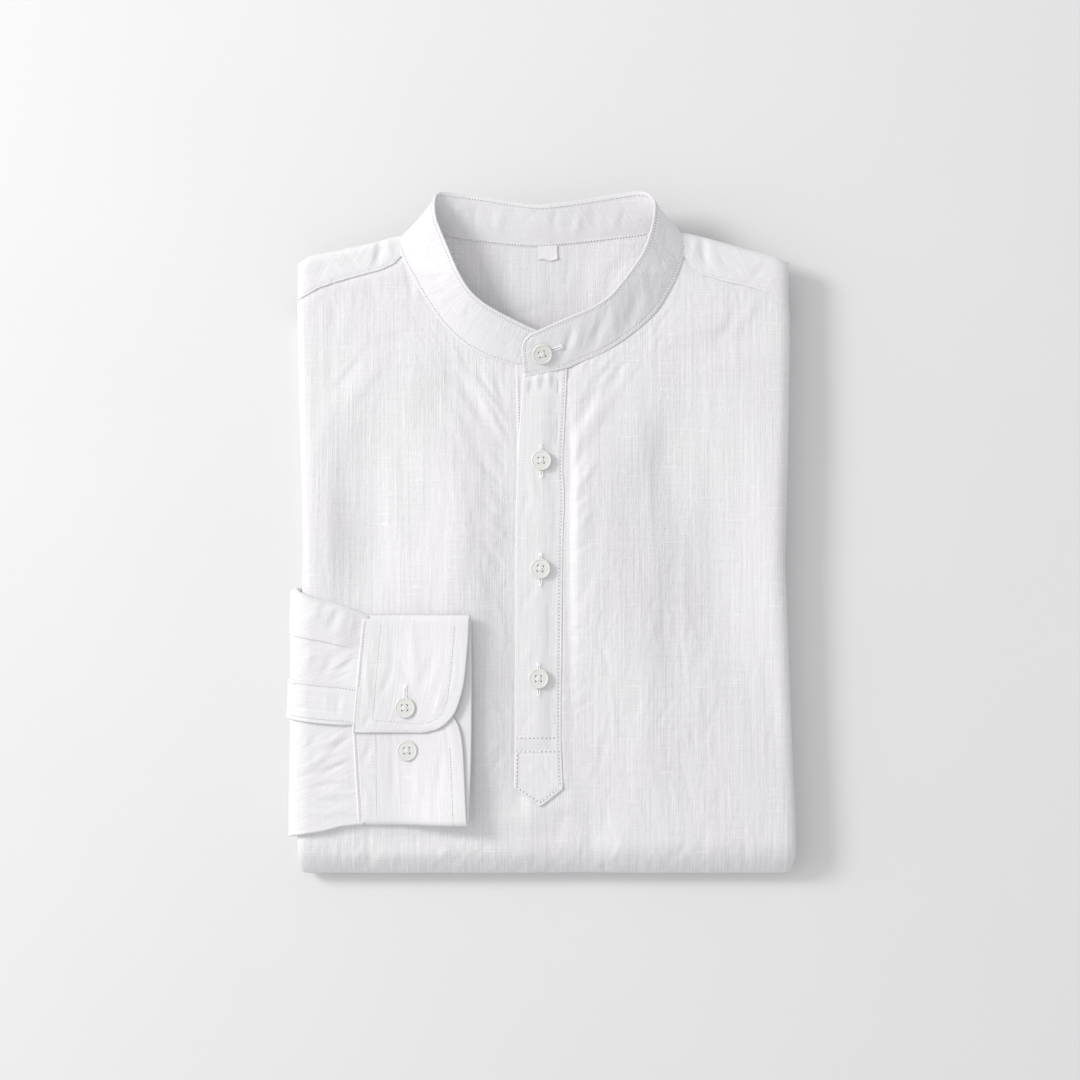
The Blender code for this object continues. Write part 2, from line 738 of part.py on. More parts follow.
def strip_grid(lift):
    shares = [0, 0.22, 0.46, 0.78, 1]
    heights = [0, 0.06, 0.13, 0.16, 0.19, 0.3, 0.42, 0.54, 0.66, 0.78, 0.9, 1]
    point_x = -1.7
    grid = []
    for height in heights:
        line = []
        for share in shares:
            foot_x = mix(STRIP[0].left, STRIP[0].right, share)
            from_point = abs(foot_x - point_x) / (point_x - STRIP[0].left)
            foot = STRIP_FOOT - STRIP_POINT * max(1 - from_point, 0.0)
            top_x = mix(STRIP[-1].left, STRIP[-1].right, share)
            y = mix(foot, strip_top(top_x), height)
            x = mix(smooth(STRIP, y, 1), smooth(STRIP, y, 2), share)
            line.append((x, y, top_z(x, y) + strip_lift(y) + lift))
        grid.append(line)
    return grid


def make_strip(finish):
    wall("placket_strip", strip_grid(STRIP_WALL), strip_grid(0.0), finish)


def make_stand(finish):
    upper, lower = [], []
    for k in range(10):
        y = mix(STAND_FOOT, STAND_TOP, k / 9)
        xs = [smooth(STRIP, y, 3), BAND[0].edge_x - 0.3, BAND[0].seam_x - 1.0, STAND_RIGHT]
        tops = [y, y] + [min(y, strip_top(x)) for x in xs[2:]]
        upper.append([(x, v, top_z(x, v) + GAP + STAND_WALL) for x, v in zip(xs, tops)])
        lower.append([(x, v, top_z(x, v) + GAP) for x, v in zip(xs, tops)])
    wall("button_stand", upper, lower, finish)


# Sleeve and cuff


def cuff_seam(y):
    """X of the seam between sleeve and cuff."""
    return straight(CUFF_SEAM, y)


def sleeve_path(y, share, lift):
    """A point on the sleeve's middle surface moved out by lift: share 0 is its hidden end, 1 its cuff seam."""
    edge = left_edge(y)
    centre_x = edge + EDGE_REACH
    off = GAP + SLEEVE_HALF + lift
    if share < 0.2:
        x = mix(edge + SLEEVE_HIDDEN_REACH, centre_x, share / 0.2)
        return (x, y, BACK_HEIGHT - off)
    if share < 0.7:
        turn = math.radians(180 * (share - 0.2) / 0.5)
        side = off + SLEEVE_SIDE_GAP * math.sin(turn)
        x = centre_x - (EDGE_REACH + side) * math.sin(turn)
        return (x, y, SHOULDER_MID - (EDGE_DROP + off) * math.cos(turn))
    x = mix(centre_x, cuff_seam(y) - GAP - 0.1, (share - 0.7) / 0.3)
    return (x, y, TOP + off)


def sleeve_grid(depth):
    """Rings round the flattened sleeve at each place along it."""
    places = [0, 0.2, 0.27, 0.34, 0.41, 0.48, 0.55, 0.62, 0.7, 0.78, 0.86, 0.93, 1]
    half = SLEEVE_HALF - depth
    across = [0.0, 0.26, 0.53, 0.77, 1.0]
    grid = []
    for share in places:
        reach = mix(-6, 33, max(share - 0.48, 0) / 0.52)
        top, bottom = smooth(SLEEVE, reach, 1) - SLEEVE_HALF, smooth(SLEEVE, reach, 2) + SLEEVE_HALF
        ring = [sleeve_path(mix(top, bottom, k), share, half) for k in across]
        ring.append(sleeve_path(bottom - half * 0.9, share, 0.0))
        ring += [sleeve_path(mix(top, bottom, k), share, -half) for k in reversed(across)]
        ring.append(sleeve_path(top + half * 0.9, share, 0.0))
        grid.append(ring)
    return grid


def make_sleeve(finish):
    wall("sleeve", sleeve_grid(0.0), sleeve_grid(WALL), finish, wrap=True)


def gauntlet_grid(lift):
    """The sleeve's own placket, on the sleeve's points moved out."""
    grid = []
    for share in (0.41, 0.48, 0.55, 0.62, 0.7, 0.78, 0.86, 0.93, 1):
        along = max(share - 0.48, 0) / 0.52
        top, foot = mix(*GAUNTLET_TOP, along), mix(*GAUNTLET_FOOT, along)
        line = [sleeve_path(mix(top, foot, k / 3), share, SLEEVE_HALF + lift) for k in range(4)]
        grid.append(line)
    return grid


def make_gauntlet(finish):
    wall("sleeve_placket", gauntlet_grid(GAP + 0.1 + STRIP_WALL), gauntlet_grid(GAP + 0.1), finish)


def make_cuff(finish):
    middle = []
    for row in CUFF:
        xs = [mix(cuff_seam(row.y), row.right, k / 6) for k in range(7)]
        middle.append([(x, row.y, row.z) for x in xs])
    outer = moved_in(middle, CUFF_WALL / 2)
    inner = moved_in(middle, -CUFF_WALL / 2)
    wall("cuff", outer, inner, finish)


# Label and buttons


def make_label(finish):
    x0, y0, x1, y1 = LABEL
    base = BACK_HEIGHT + WALL + GAP
    upper = [[(mix(x0, x1, i / 2), mix(y0, y1, j / 2), base + LABEL_WALL) for j in range(3)] for i in range(3)]
    lower = [[(x, y, base) for x, y, _ in row] for row in upper]
    wall("neck_label", upper, lower, finish)


def make_button(name, place, direction, finish):
    """A turned button with a raised rim and four holes, its underside at place."""
    build = bmesh.new()
    points = [build.verts.new((p.radius * MM, 0.0, p.height * MM)) for p in BUTTON_PROFILE]
    edges = [build.edges.new(pair) for pair in zip(points, points[1:])]
    bmesh.ops.spin(
        build,
        geom=points + edges,
        cent=(0, 0, 0),
        axis=(0, 0, 1),
        angle=math.tau,
        steps=24,
        use_merge=True,
    )
    bmesh.ops.remove_doubles(build, verts=build.verts[:], dist=1e-6)
    bmesh.ops.recalc_face_normals(build, faces=build.faces[:])
    mesh = bpy.data.meshes.new(name)
    build.to_mesh(mesh)
    build.free()
    mesh.materials.append(finish)
    button = bpy.data.objects.new(name, mesh)
    bpy.context.collection.objects.link(button)
    mesh.shade_smooth()
    mesh.set_sharp_from_angle(angle=math.radians(50))
    up = Vector(direction).normalized()
    button.rotation_euler = Vector((0, 0, 1)).rotation_difference(up).to_euler()
    button.location = Vector(place) * MM
    holes = button_holes(name)
    holes.parent = button
    cut = button.modifiers.new("holes", "BOOLEAN")
    cut.object = holes
    cut.operation = "DIFFERENCE"
    cut.solver = "EXACT"


def button_holes(name):
    """Four pins that cut a button's holes."""
    build = bmesh.new()
    for k in range(4):
        turn = math.radians(45 + 90 * k)
        made = bmesh.ops.create_cone(
            build,
            cap_ends=True,
            segments=8,
            radius1=BUTTON_HOLE_RADIUS * MM,
            radius2=BUTTON_HOLE_RADIUS * MM,
            depth=BUTTON_PIN_LENGTH * MM,
        )
        offset = Vector((math.cos(turn), math.sin(turn), 0)) * BUTTON_HOLE_OFFSET * MM
        bmesh.ops.translate(build, verts=made["verts"], vec=offset)
    mesh = bpy.data.meshes.new(name + "_holes")
    build.to_mesh(mesh)
    build.free()
    pins = bpy.data.objects.new(name + "_holes", mesh)
    bpy.context.collection.objects.link(pins)
    pins.hide_render = True
    pins.display_type = "WIRE"
    return pins


def make_buttons(finish):
    for fastening in STRIP_BUTTONS:
        x, y = fastening.x, fastening.y
        z = top_z(x, y) + strip_lift(y) + STRIP_WALL + GAP
        make_button(fastening.name, (x, y, z), (0, 0, 1), finish)
    seam, edge = band_line(1.0)
    along, _ = band_line(1.5)
    up = (along - seam).cross(edge - seam).normalized()
    share = (COLLAR_BUTTON.y - seam.y) / (edge.y - seam.y)
    place = seam.lerp(edge, share)
    place.x = COLLAR_BUTTON.x
    make_button(COLLAR_BUTTON.name, place + up * 2 * GAP, up, finish)
    for fastening in CUFF_BUTTONS:
        z = fastening.cuff_z + CUFF_WALL / 2 + GAP
        make_button(fastening.name, (fastening.x, fastening.y, z), (0, 0, 1), finish)


def main():
    clear_scene()
    linen = material("linen", LINEN, 0.85)
    hidden = material("linen_folded_away", LINEN_INSIDE, 0.9)
    shell = material("button_off_white", BUTTON_COLOUR, 0.35)
    make_front(linen)
    make_yoke(linen)
    make_back(linen)
    make_hidden_layers(hidden)
    make_band(linen)
    make_strip(linen)
    make_stand(linen)
    make_sleeve(linen)
    make_gauntlet(linen)
    make_cuff(linen)
    make_label(linen)
    make_buttons(shell)


main()
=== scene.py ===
"""The looks of a folded linen henley shirt: its cloth, seams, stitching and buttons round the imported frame.

Blender 4.5. Lengths are millimetres unless a name says otherwise, and MM turns them into metres. The shirt
lies face up with its collar towards +Y and its placket along the Y axis, as the frame does.
"""

import math
from collections import namedtuple

import bmesh
import bpy
import numpy as np
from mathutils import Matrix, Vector
from mathutils.bvhtree import BVHTree


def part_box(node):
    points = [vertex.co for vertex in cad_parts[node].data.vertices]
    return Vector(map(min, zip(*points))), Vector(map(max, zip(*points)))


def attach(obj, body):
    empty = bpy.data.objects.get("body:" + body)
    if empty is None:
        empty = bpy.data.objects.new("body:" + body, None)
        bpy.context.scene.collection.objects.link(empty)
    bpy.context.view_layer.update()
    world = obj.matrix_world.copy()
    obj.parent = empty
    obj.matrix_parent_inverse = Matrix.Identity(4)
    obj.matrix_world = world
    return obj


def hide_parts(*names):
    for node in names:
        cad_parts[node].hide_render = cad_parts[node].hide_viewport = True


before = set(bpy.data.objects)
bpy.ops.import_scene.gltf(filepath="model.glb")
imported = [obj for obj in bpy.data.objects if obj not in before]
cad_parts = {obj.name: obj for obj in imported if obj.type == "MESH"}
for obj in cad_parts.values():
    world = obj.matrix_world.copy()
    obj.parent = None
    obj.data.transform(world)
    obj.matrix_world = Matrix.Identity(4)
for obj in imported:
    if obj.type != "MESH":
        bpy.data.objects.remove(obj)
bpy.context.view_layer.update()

bl_info = {
    "name": "Folded linen henley shirt",
    "version": (1, 0, 0),
    "blender": (4, 5, 0),
    "location": "3D View > Sidebar > Shirt",
    "description": "Builds the cloth, stitching and buttons of a folded band-collar henley shirt",
    "category": "Add Mesh",
}

MM = 0.001
UP = np.array([0.0, 0.0, 1.0])


def table(kind, rows):
    """Rows of numbers under a kind's named columns."""
    return [kind(*row) for row in rows]


def node_box(node):
    """A frame node's lowest and highest corner, in millimetres."""
    low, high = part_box(node)
    return np.array(low) / MM, np.array(high) / MM


def node_middle(node):
    low, high = node_box(node)
    return (low + high) / 2


# The fold: the chest is the upper arm, and the tail folded back beneath it is the lower arm.
TOP = node_box("yoke")[1][2]
FOLD_RADIUS = TOP / 2
FOLD_Y = node_box("front")[0][1] + FOLD_RADIUS
TAIL_HEM = 120.0
TAIL_TURN_UP = 9.0
EDGE_REACH = 7.0
EDGE_DROP = 4.0
TUCK = 13.0
SHOULDER_REACH = 5.0
SHOULDER_MID = TOP - EDGE_DROP
YOKE_WALL = 1.0
YOKE_START = 99.7
LEAF_TOP = SHOULDER_MID - EDGE_DROP + YOKE_WALL

# Laps: how far a piece goes on beneath the piece that is sewn over it.
LAP = 2.4
BAND_WALL = 1.0
BAND_CORNER = 8.0
STRIP_WALL = 1.0
STAND_WALL = 0.8
CUFF_WALL = 1.1
GAUNTLET_WALL = 0.9
LABEL_WALL = 0.5
SLEEVE_HALF = 2.0
SLEEVE_WALL = 0.7
SLEEVE_HIDDEN_REACH = 18.0
SLEEVE_SIDE_GAP = 1.3
GAP = 0.3

Side = namedtuple("Side", "y left right")
SIDES = table(Side, [
    (-191, -136.2, 139.8),
    (-177, -137.8, 142),
    (-115, -137.2, 139.6),
    (-42, -135.8, 136.4),
    (-15, -134.8, 135.3),
    (19, -135.2, 136.2),
    (75, -136.8, 137.8),
    (128, -137.9, 138.4),
    (145, -137.5, 137.3),
    (170, -136.8, 136.5),
])

Place = namedtuple("Place", "x y")
SHOULDER_LINE = table(Place, [
    (-137, 152.4),
    (-130, 156.8),
    (-116, 159.4),
    (-103, 162.4),
    (-90, 166),
    (-81, 168.4),
    (-70, 170),
    (0, 170),
    (70, 170),
    (81, 169.2),
    (90, 167),
    (113, 160.6),
    (130, 156.4),
    (137, 152.6),
])

# Where the front meets the yoke, from each side edge in to the neck.
YOKE_SEAM_LEFT = table(Place, [
    (-137.8, 131.2),
    (-125.5, 138.1),
    (-116, 141.4),
    (-104, 144.8),
    (-90, 148.6),
    (-83, 152),
    (-79.6, 156),
])
YOKE_SEAM_RIGHT = table(Place, [
    (79, 155.7),
    (87.4, 146.3),
    (100.4, 142.1),
    (115.5, 138.7),
    (125.5, 135.4),
    (138.5, 127.4),
])

# The collar band's outer face: its seam and its top edge, from the end that buttons over, round the back of
# the neck, to the end beneath.
Band = namedtuple("Band", "seam_x seam_y seam_z edge_x edge_y edge_z")
BAND = table(Band, [
    (-10.1, 88.4, 23.9, -12.3, 109.5, 30.2),
    (0.5, 90.7, 23.9, -3.2, 113, 30.8),
    (12.9, 93.4, 23.2, 7.3, 117.6, 31.2),
    (19.9, 96.4, 22.8, 14.3, 120.6, 31.6),
    (34.7, 102.9, 22.5, 27.3, 126.1, 32.4),
    (47.7, 111.3, 22.5, 37.3, 132.6, 33.2),
    (58.9, 120.6, 22.5, 45, 141.3, 33.8),
    (66.3, 129.8, 22.5, 50.6, 148.6, 34.4),
    (73.7, 142.9, 22.5, 56, 157.2, 35),
    (78.3, 155.8, 22.3, 59.6, 166.3, 35.2),
    (79.4, 165.2, 20.7, 61.9, 176.2, 35),
    (75.5, 171.2, 17.4, 62.6, 184.2, 33.6),
    (67, 170.6, 15.4, 60.4, 188.6, 31.6),
    (58.9, 168.4, 14.6, 55.6, 191, 29.6),
    (47.7, 166.6, 14.4, 47, 190.7, 27.6),
    (29.1, 164.4, 14.4, 29.1, 187.8, 26.4),
    (0, 161.8, 14.4, 0, 184.1, 26.2),
    (-17.3, 162.4, 14.4, -16.5, 185.6, 26.2),
    (-35.8, 164.4, 14.4, -33, 188.2, 26.8),
    (-47, 165.8, 14.4, -45, 189.8, 27.6),
    (-57, 167.6, 14.6, -54.6, 190.9, 29.4),
    (-66.5, 170, 15.4, -59.3, 189.8, 31.4),
    (-75.5, 170.6, 17.4, -60.9, 185.4, 33.6),
    (-80.6, 164.8, 20.7, -60.3, 177.2, 35),
    (-79, 156.4, 22.3, -57.9, 170.2, 35.2),
    (-73, 144.7, 22.5, -53.4, 159.3, 35.2),
    (-65.6, 131.7, 22.5, -48.3, 147.3, 35),
    (-56.3, 118.7, 22.5, -42, 136.6, 34.4),
    (-45.1, 107.6, 22.5, -34, 129, 33.4),
    (-32.1, 100.1, 22.5, -24.2, 123.2, 31.8),
    (-20, 95.9, 22.2, -13.6, 118, 29.6),
    (-12.7, 93.6, 21.9, -7, 115, 28.2),
    (-5, 92.2, 21.9, -1, 112.6, 27.6),
    (3, 91.9, 21.9, 4, 112, 27.2),
])
RIGHT_NECK = (2.0, 9.0)  # the stations that stand along the front's neckline
LEFT_NECK = (24.0, 31.0)
BACK_NECK = (13.0, 20.0)

# The buttonhole strip down the front and the button stand beneath it.
Strip = namedtuple("Strip", "y left right stand_left")
STRIP = table(Strip, [
    (-142, -16, 10.8, -14.6),
    (-114, -15.4, 9.8, -14.6),
    (-60, -15.2, 10.2, -14.4),
    (-3, -14.9, 10.8, -14.2),
    (20, -14.6, 11.6, -14),
    (40, -14, 10.8, -14.2),
    (66, -12.4, 12.1, -14.7),
    (93, -10.6, 13.3, -15.2),
])
STRIP_FOOT = -141.6
STRIP_POINT = 10.4  # depth of the pointed tab below the foot's corners
STRIP_POINT_X = -1.7
STAND_FOOT = -112.0
STAND_TOP = 94.6

# The cuff's middle surface, from the free end of its upper flap, round both folds, to the end beneath.
Cuff = namedtuple("Cuff", "y z right")
CUFF = table(Cuff, [
    (-110.2, 27.05, -67),
    (-107.6, 27.05, -58),
    (-102, 27.05, -51.6),
    (-96, 27.05, -48.2),
    (-84, 26.9, -44.8),
    (-70, 26, -43.2),
    (-58, 25.1, -42.2),
    (-48, 24.95, -41.7),
    (-46.2, 24, -41.2),
    (-48, 23.05, -40.8),
    (-80, 23.05, -40.4),
    (-120, 23.05, -40.6),
    (-158.5, 23.05, -42),
    (-161.4, 24.05, -42.6),
    (-158.5, 25.05, -43.2),
    (-139, 25.05, -44.1),
    (-118.3, 25.05, -45.3),
    (-107.8, 25.05, -47.3),
    (-100, 25.05, -51.6),
    (-92, 25.05, -56),
])
CuffSeam = namedtuple("CuffSeam", "y x")
CUFF_SEAM = table(CuffSeam, [
    (-163, -102.8), (-108, -106), (-45, -100.2)
])

# The flattened sleeve, by the distance from the body's side edge: its outline and the edges laid across it.
Sleeve = namedtuple("Sleeve", "reach top pleat gauntlet_top gauntlet_foot bottom")
SLEEVE = table(Sleeve, [
    (-6, -30, -55.6, -80.9, -101.6, -169.6),
    (14, -36.5, -59.6, -83.6, -104.4, -166.8),
    (24, -40.4, -62.6, -84.6, -105.4, -163.6),
    (33, -45.3, -65.1, -85.6, -106.4, -162.2),
])


# Curves through tables


def ramp(start, end, value):
    """0 before start, 1 after end, smooth between."""
    share = np.clip((value - start) / (end - start), 0.0, 1.0)
    return share * share * (3 - 2 * share)


def mix(a, b, share):
    return a + (b - a) * share


def straight(rows, at):
    """The second column at values of the first, with straight lines between the rows."""
    numbers = np.array(rows, float)
    return np.interp(at, numbers[:, 0], numbers[:, 1])


def smooth(rows, at, column=1):
    """A column at values of the first column, along a cubic through the rows."""
    numbers = np.array(rows, float)
    keys, values = numbers[:, 0], numbers[:, column]
    at = np.clip(at, keys[0], keys[-1])
    i = np.clip(np.searchsorted(keys, at, side="right") - 1, 0, len(keys) - 2)
    before, after = np.maximum(i - 1, 0), np.minimum(i + 2, len(keys) - 1)
    step = keys[i + 1] - keys[i]
    slope_a = (values[i + 1] - values[before]) / (keys[i + 1] - keys[before]) * step
    slope_b = (values[after] - values[i]) / (keys[after] - keys[i]) * step
    t = (at - keys[i]) / step
    return (
        (2 * t**3 - 3 * t**2 + 1) * values[i]
        + (t**3 - 2 * t**2 + t) * slope_a
        + (3 * t**2 - 2 * t**3) * values[i + 1]
        + (t**3 - t**2) * slope_b
    )


def through(points, at):
    """Points on a curve through stations, at places counted in stations."""
    stations = np.array(points, float)
    last = len(stations) - 1
    at = np.clip(np.asarray(at, float), 0, last)
    i = np.minimum(at.astype(int), last - 1)
    share = (at - i)[..., None]
    a, b, c, d = (stations[np.clip(i + k, 0, last)] for k in (-1, 0, 1, 2))
    return 0.5 * (
        2 * b
        + (c - a) * share
        + (2 * a - 5 * b + 4 * c - d) * share**2
        + (3 * b - a - 3 * c + d) * share**3
    )


def spread(start, end, step):
    """Places from start to end, about a step apart."""
    return np.linspace(start, end, max(int(round(abs(end - start) / step)), 1) + 1)


SEWN_STEPS = (0.0, 0.4, 0.8, 1.15, 1.4, 1.65, 1.95, 2.4, 3.0)


def sewn_spread(start, end, step):
    """Places from start to end, closer together at both ends, where a stitched edge needs them."""
    steps = np.array(SEWN_STEPS)
    middle = spread(start + steps[-1], end - steps[-1], step)
    return np.concatenate([start + steps[:-1], middle, (end - steps[:-1])[::-1]])


def lengths_along(points):
    """Distance of each point from the first, along the line through them."""
    steps = np.linalg.norm(np.diff(points, axis=0), axis=-1)
    return np.concatenate([[0.0], np.cumsum(steps)])


def lengths_across(grid):
    """Distance of each point of a grid from the first one in its row, along the row."""
    steps = np.linalg.norm(np.diff(grid, axis=1), axis=-1)
    return np.concatenate([np.zeros((len(grid), 1)), np.cumsum(steps, axis=1)], axis=1)


def places_at(at, along, points):
    """Points at distances along a line, from its own points and their distances."""
    return np.stack([np.interp(at, along, points[:, k]) for k in range(points.shape[1])], axis=-1)


def walk(points, step):
    """Points about a step apart along a line through points."""
    points = np.array(points, float)
    along = lengths_along(points)
    return places_at(spread(0.0, along[-1], step), along, points)


def distance_to(line, x, y):
    """How far places are from a line of points in the same plane."""
    nearest = np.full(np.shape(x), 1e9)
    for (ax, ay), (bx, by) in zip(line[:-1], line[1:]):
        dx, dy = bx - ax, by - ay
        share = np.clip(((x - ax) * dx + (y - ay) * dy) / (dx * dx + dy * dy), 0, 1)
        nearest = np.minimum(nearest, np.hypot(x - ax - share * dx, y - ay - share * dy))
    return nearest


# Relief: what stands above or lies below a cloth's plain surface

# Middle, direction in degrees from +X, half length, half width, height (less than 0 for a trough), how far
# the middle is bowed sideways, and lean, which makes one flank steeper.
Crease = namedtuple("Crease", "x y turn half_length half_width height bow lean", defaults=(0.0, 0.0))


def creased(x, y, creases):
    """Height that soft troughs and ridges add at places."""
    height = np.zeros(np.shape(x))
    for crease in creases:
        reach = crease.half_length + crease.half_width + abs(crease.bow)
        near = (np.abs(x - crease.x) < reach) & (np.abs(y - crease.y) < reach)
        if not near.any():
            continue
        turn = math.radians(crease.turn)
        dx, dy = x[near] - crease.x, y[near] - crease.y
        along = (dx * math.cos(turn) + dy * math.sin(turn)) / crease.half_length
        across = dy * math.cos(turn) - dx * math.sin(turn) - crease.bow * along**2
        across /= crease.half_width
        across -= crease.lean * (1 - np.minimum(across**2, 1.0))
        fade = np.clip(1 - along**2, 0, 1) ** 2
        height[near] += crease.height * fade * np.clip(1 - across**2, 0, 1) ** 2
    return height


# A patch of small creases that lie much the same way: the middle and half size of the patch, the direction
# and how far it strays, the smallest and largest half length and half width, and the largest height.
Crumple = namedtuple("Crumple", "x y reach_x reach_y turn stray short long thin wide height count")


LOWEST_CRUMPLE = 0.35  # share of a patch's height
CRUMPLE_BOW = 0.6  # share of its largest half width
CRUMPLE_LEAN = 0.35


def crumpled(crumple, seed):
    """The creases of a patch, uneven in place, length, width and height."""
    chance = np.random.default_rng(seed)
    creases = []
    for _ in range(crumple.count):
        height = crumple.height * chance.uniform(LOWEST_CRUMPLE, 1.0) * chance.choice((-1, 1))
        x = crumple.x + crumple.reach_x * chance.uniform(-1, 1)
        y = crumple.y + crumple.reach_y * chance.uniform(-1, 1)
        turn = crumple.turn + crumple.stray * chance.normal(0, 0.5)
        half_length = chance.uniform(crumple.short, crumple.long)
        half_width = chance.uniform(crumple.thin, crumple.wide)
        bow = chance.uniform(-1, 1) * crumple.wide * CRUMPLE_BOW
        lean = chance.uniform(-CRUMPLE_LEAN, CRUMPLE_LEAN)
        creases.append(Crease(x, y, turn, half_length, half_width, height, bow, lean))
    return creases


def near_line(distance, half_width):
    """1 on a line and 0 further than half_width from it."""
    return np.clip(1 - (distance / half_width) ** 2, 0, 1)


def groove(distance, half_width, depth):
    """A stitched line pulls the cloth down beside itself."""
    return -depth * near_line(distance, half_width) ** 2


# The chest's largest soft folds, which the frame has too.
SWELLS = table(Crease, [
    (-100, 88, 58, 62, 20, 0.9),
    (-62, 52, -58, 70, 22, 1),
    (-44, -30, 84, 80, 20, 0.8),
    (46, 46, 62, 66, 22, 1),
    (96, 40, 88, 90, 24, 0.8),
    (52, -70, 86, 88, 20, 0.9),
    (98, -110, 96, 70, 22, 1),
])

# Where the placket, sleeve and cuff hold the chest flat.
PLACKET_MIDDLE_X = -2.0
PLACKET_FLAT = 16.0  # half the width that lies flat
PLACKET_FADE_TAB = 27.0  # half the width where the relief is whole again: beside the tab, and above it
PLACKET_FADE = 21.0
TAB_END_Y = (-161.0, -150.0)
TAB_TOP_Y = (-130.0, -112.0)
SLEEVE_TOP_LINE = [(-146, -24), (-106, -40), (-101, -44), (-44, -45)]
SLEEVE_FOOT_LINE = [(-146, -169), (-103, -163), (-44, -163)]
CUFF_EDGE_X = -43.0
CUFF_FADE = 9.0


def swell(x, y):
    """The soft folds that the frame's chest has."""
    return creased(x, y, SWELLS) * clear_of_trim(x, y)


def clear_of_trim(x, y):
    """0 under the placket, sleeve and cuff, 1 away from them."""
    reach = mix(PLACKET_FADE_TAB, PLACKET_FADE, ramp(*TAB_TOP_Y, y))
    beside = ramp(PLACKET_FLAT, reach, np.abs(x - PLACKET_MIDDLE_X))
    beside = np.maximum(beside, 1 - ramp(*TAB_END_Y, y))
    below_top = straight(SLEEVE_TOP_LINE, x) - y
    above_foot = y - straight(SLEEVE_FOOT_LINE, x)
    under_cuff = np.minimum(np.minimum(below_top, above_foot), CUFF_EDGE_X - x)
    return beside * (1 - ramp(0.0, CUFF_FADE, under_cuff))


# Meshes

GRAIN = "grain"  # the UV map of places in the woven cloth, in millimetres: across, then along the warp
# Where each piece is cut from the length of cloth, so that no two show the same threads.
CUT_AT = {
    "strip": 400.0,
    "stand": 700.0,
    "sleeve": 1100.0,
    "gauntlet": 1500.0,
    "cuff": 1900.0,
    "label": 2300.0,
    "back": 2700.0,
}
PLY_CUT_STEP = 57.0
WELD = 0.02
RIM_RINGS = 3


def cut_at(piece, across, along):
    """Grain of a piece: its points' places in the length of cloth."""
    return np.stack([across, along], axis=-1) + CUT_AT[piece]


def unit(vectors):
    return vectors / np.maximum(np.linalg.norm(vectors, axis=-1, keepdims=True), 1e-9)


def normals_of(surface):
    """Unit normals of a grid of points, along row step x column step."""
    return unit(np.cross(np.gradient(surface, axis=0), np.gradient(surface, axis=1)))


def raised(surface, height):
    """A surface with each point moved along its normal."""
    return surface + normals_of(surface) * height[..., None]


def cells(rows, columns, kept=None):
    """Faces of a grid of points numbered row by row. kept says which points are there; a cell that lacks one
    point becomes a triangle."""
    i, j = np.meshgrid(np.arange(rows - 1), np.arange(columns - 1), indexing="ij")
    corner = (i * columns + j).ravel()
    four = np.stack([corner, corner + columns, corner + columns + 1, corner + 1], axis=-1)
    if kept is None:
        return four.tolist()
    there = kept.ravel()[four]
    faces = four[there.all(axis=1)].tolist()
    three = there.sum(axis=1) == 3
    faces += [[c for c, k in zip(f, t) if k] for f, t in zip(four[three].tolist(), there[three])]
    return faces


def border_edges(faces):
    """Edges that only one face has, in that face's direction."""
    edges = set()
    for face in faces:
        edges.update(zip(face, face[1:] + face[:1]))
    return [(a, b) for a, b in edges if (b, a) not in edges]


def new_piece(name, points, faces, grain, finish, closed=True):
    """A named mesh object from points in millimetres."""
    mesh = bpy.data.meshes.new(name)
    mesh.from_pydata((points * MM).tolist(), [], faces)
    corners = np.empty(len(mesh.loops), np.int32)
    mesh.loops.foreach_get("vertex_index", corners)
    uv = mesh.uv_layers.new(name=GRAIN)
    uv.data.foreach_set("uv", grain[corners].astype(np.float32).ravel())
    build = bmesh.new()
    build.from_mesh(mesh)
    bmesh.ops.remove_doubles(build, verts=build.verts[:], dist=WELD * MM)
    if closed:
        bmesh.ops.recalc_face_normals(build, faces=build.faces[:])
    build.to_mesh(mesh)
    build.free()
    mesh.materials.append(finish)
    mesh.shade_smooth()
    piece = bpy.data.objects.new(name, mesh)
    bpy.context.collection.objects.link(piece)
    return piece


def open_cloth(name, surface, grain, finish):
    """One layer of cloth with no wall, for a panel whose edges are all covered or turned in."""
    faces = cells(*surface.shape[:2])
    return new_piece(name, surface.reshape(-1, 3), faces, grain.reshape(-1, 2), finish, closed=False)


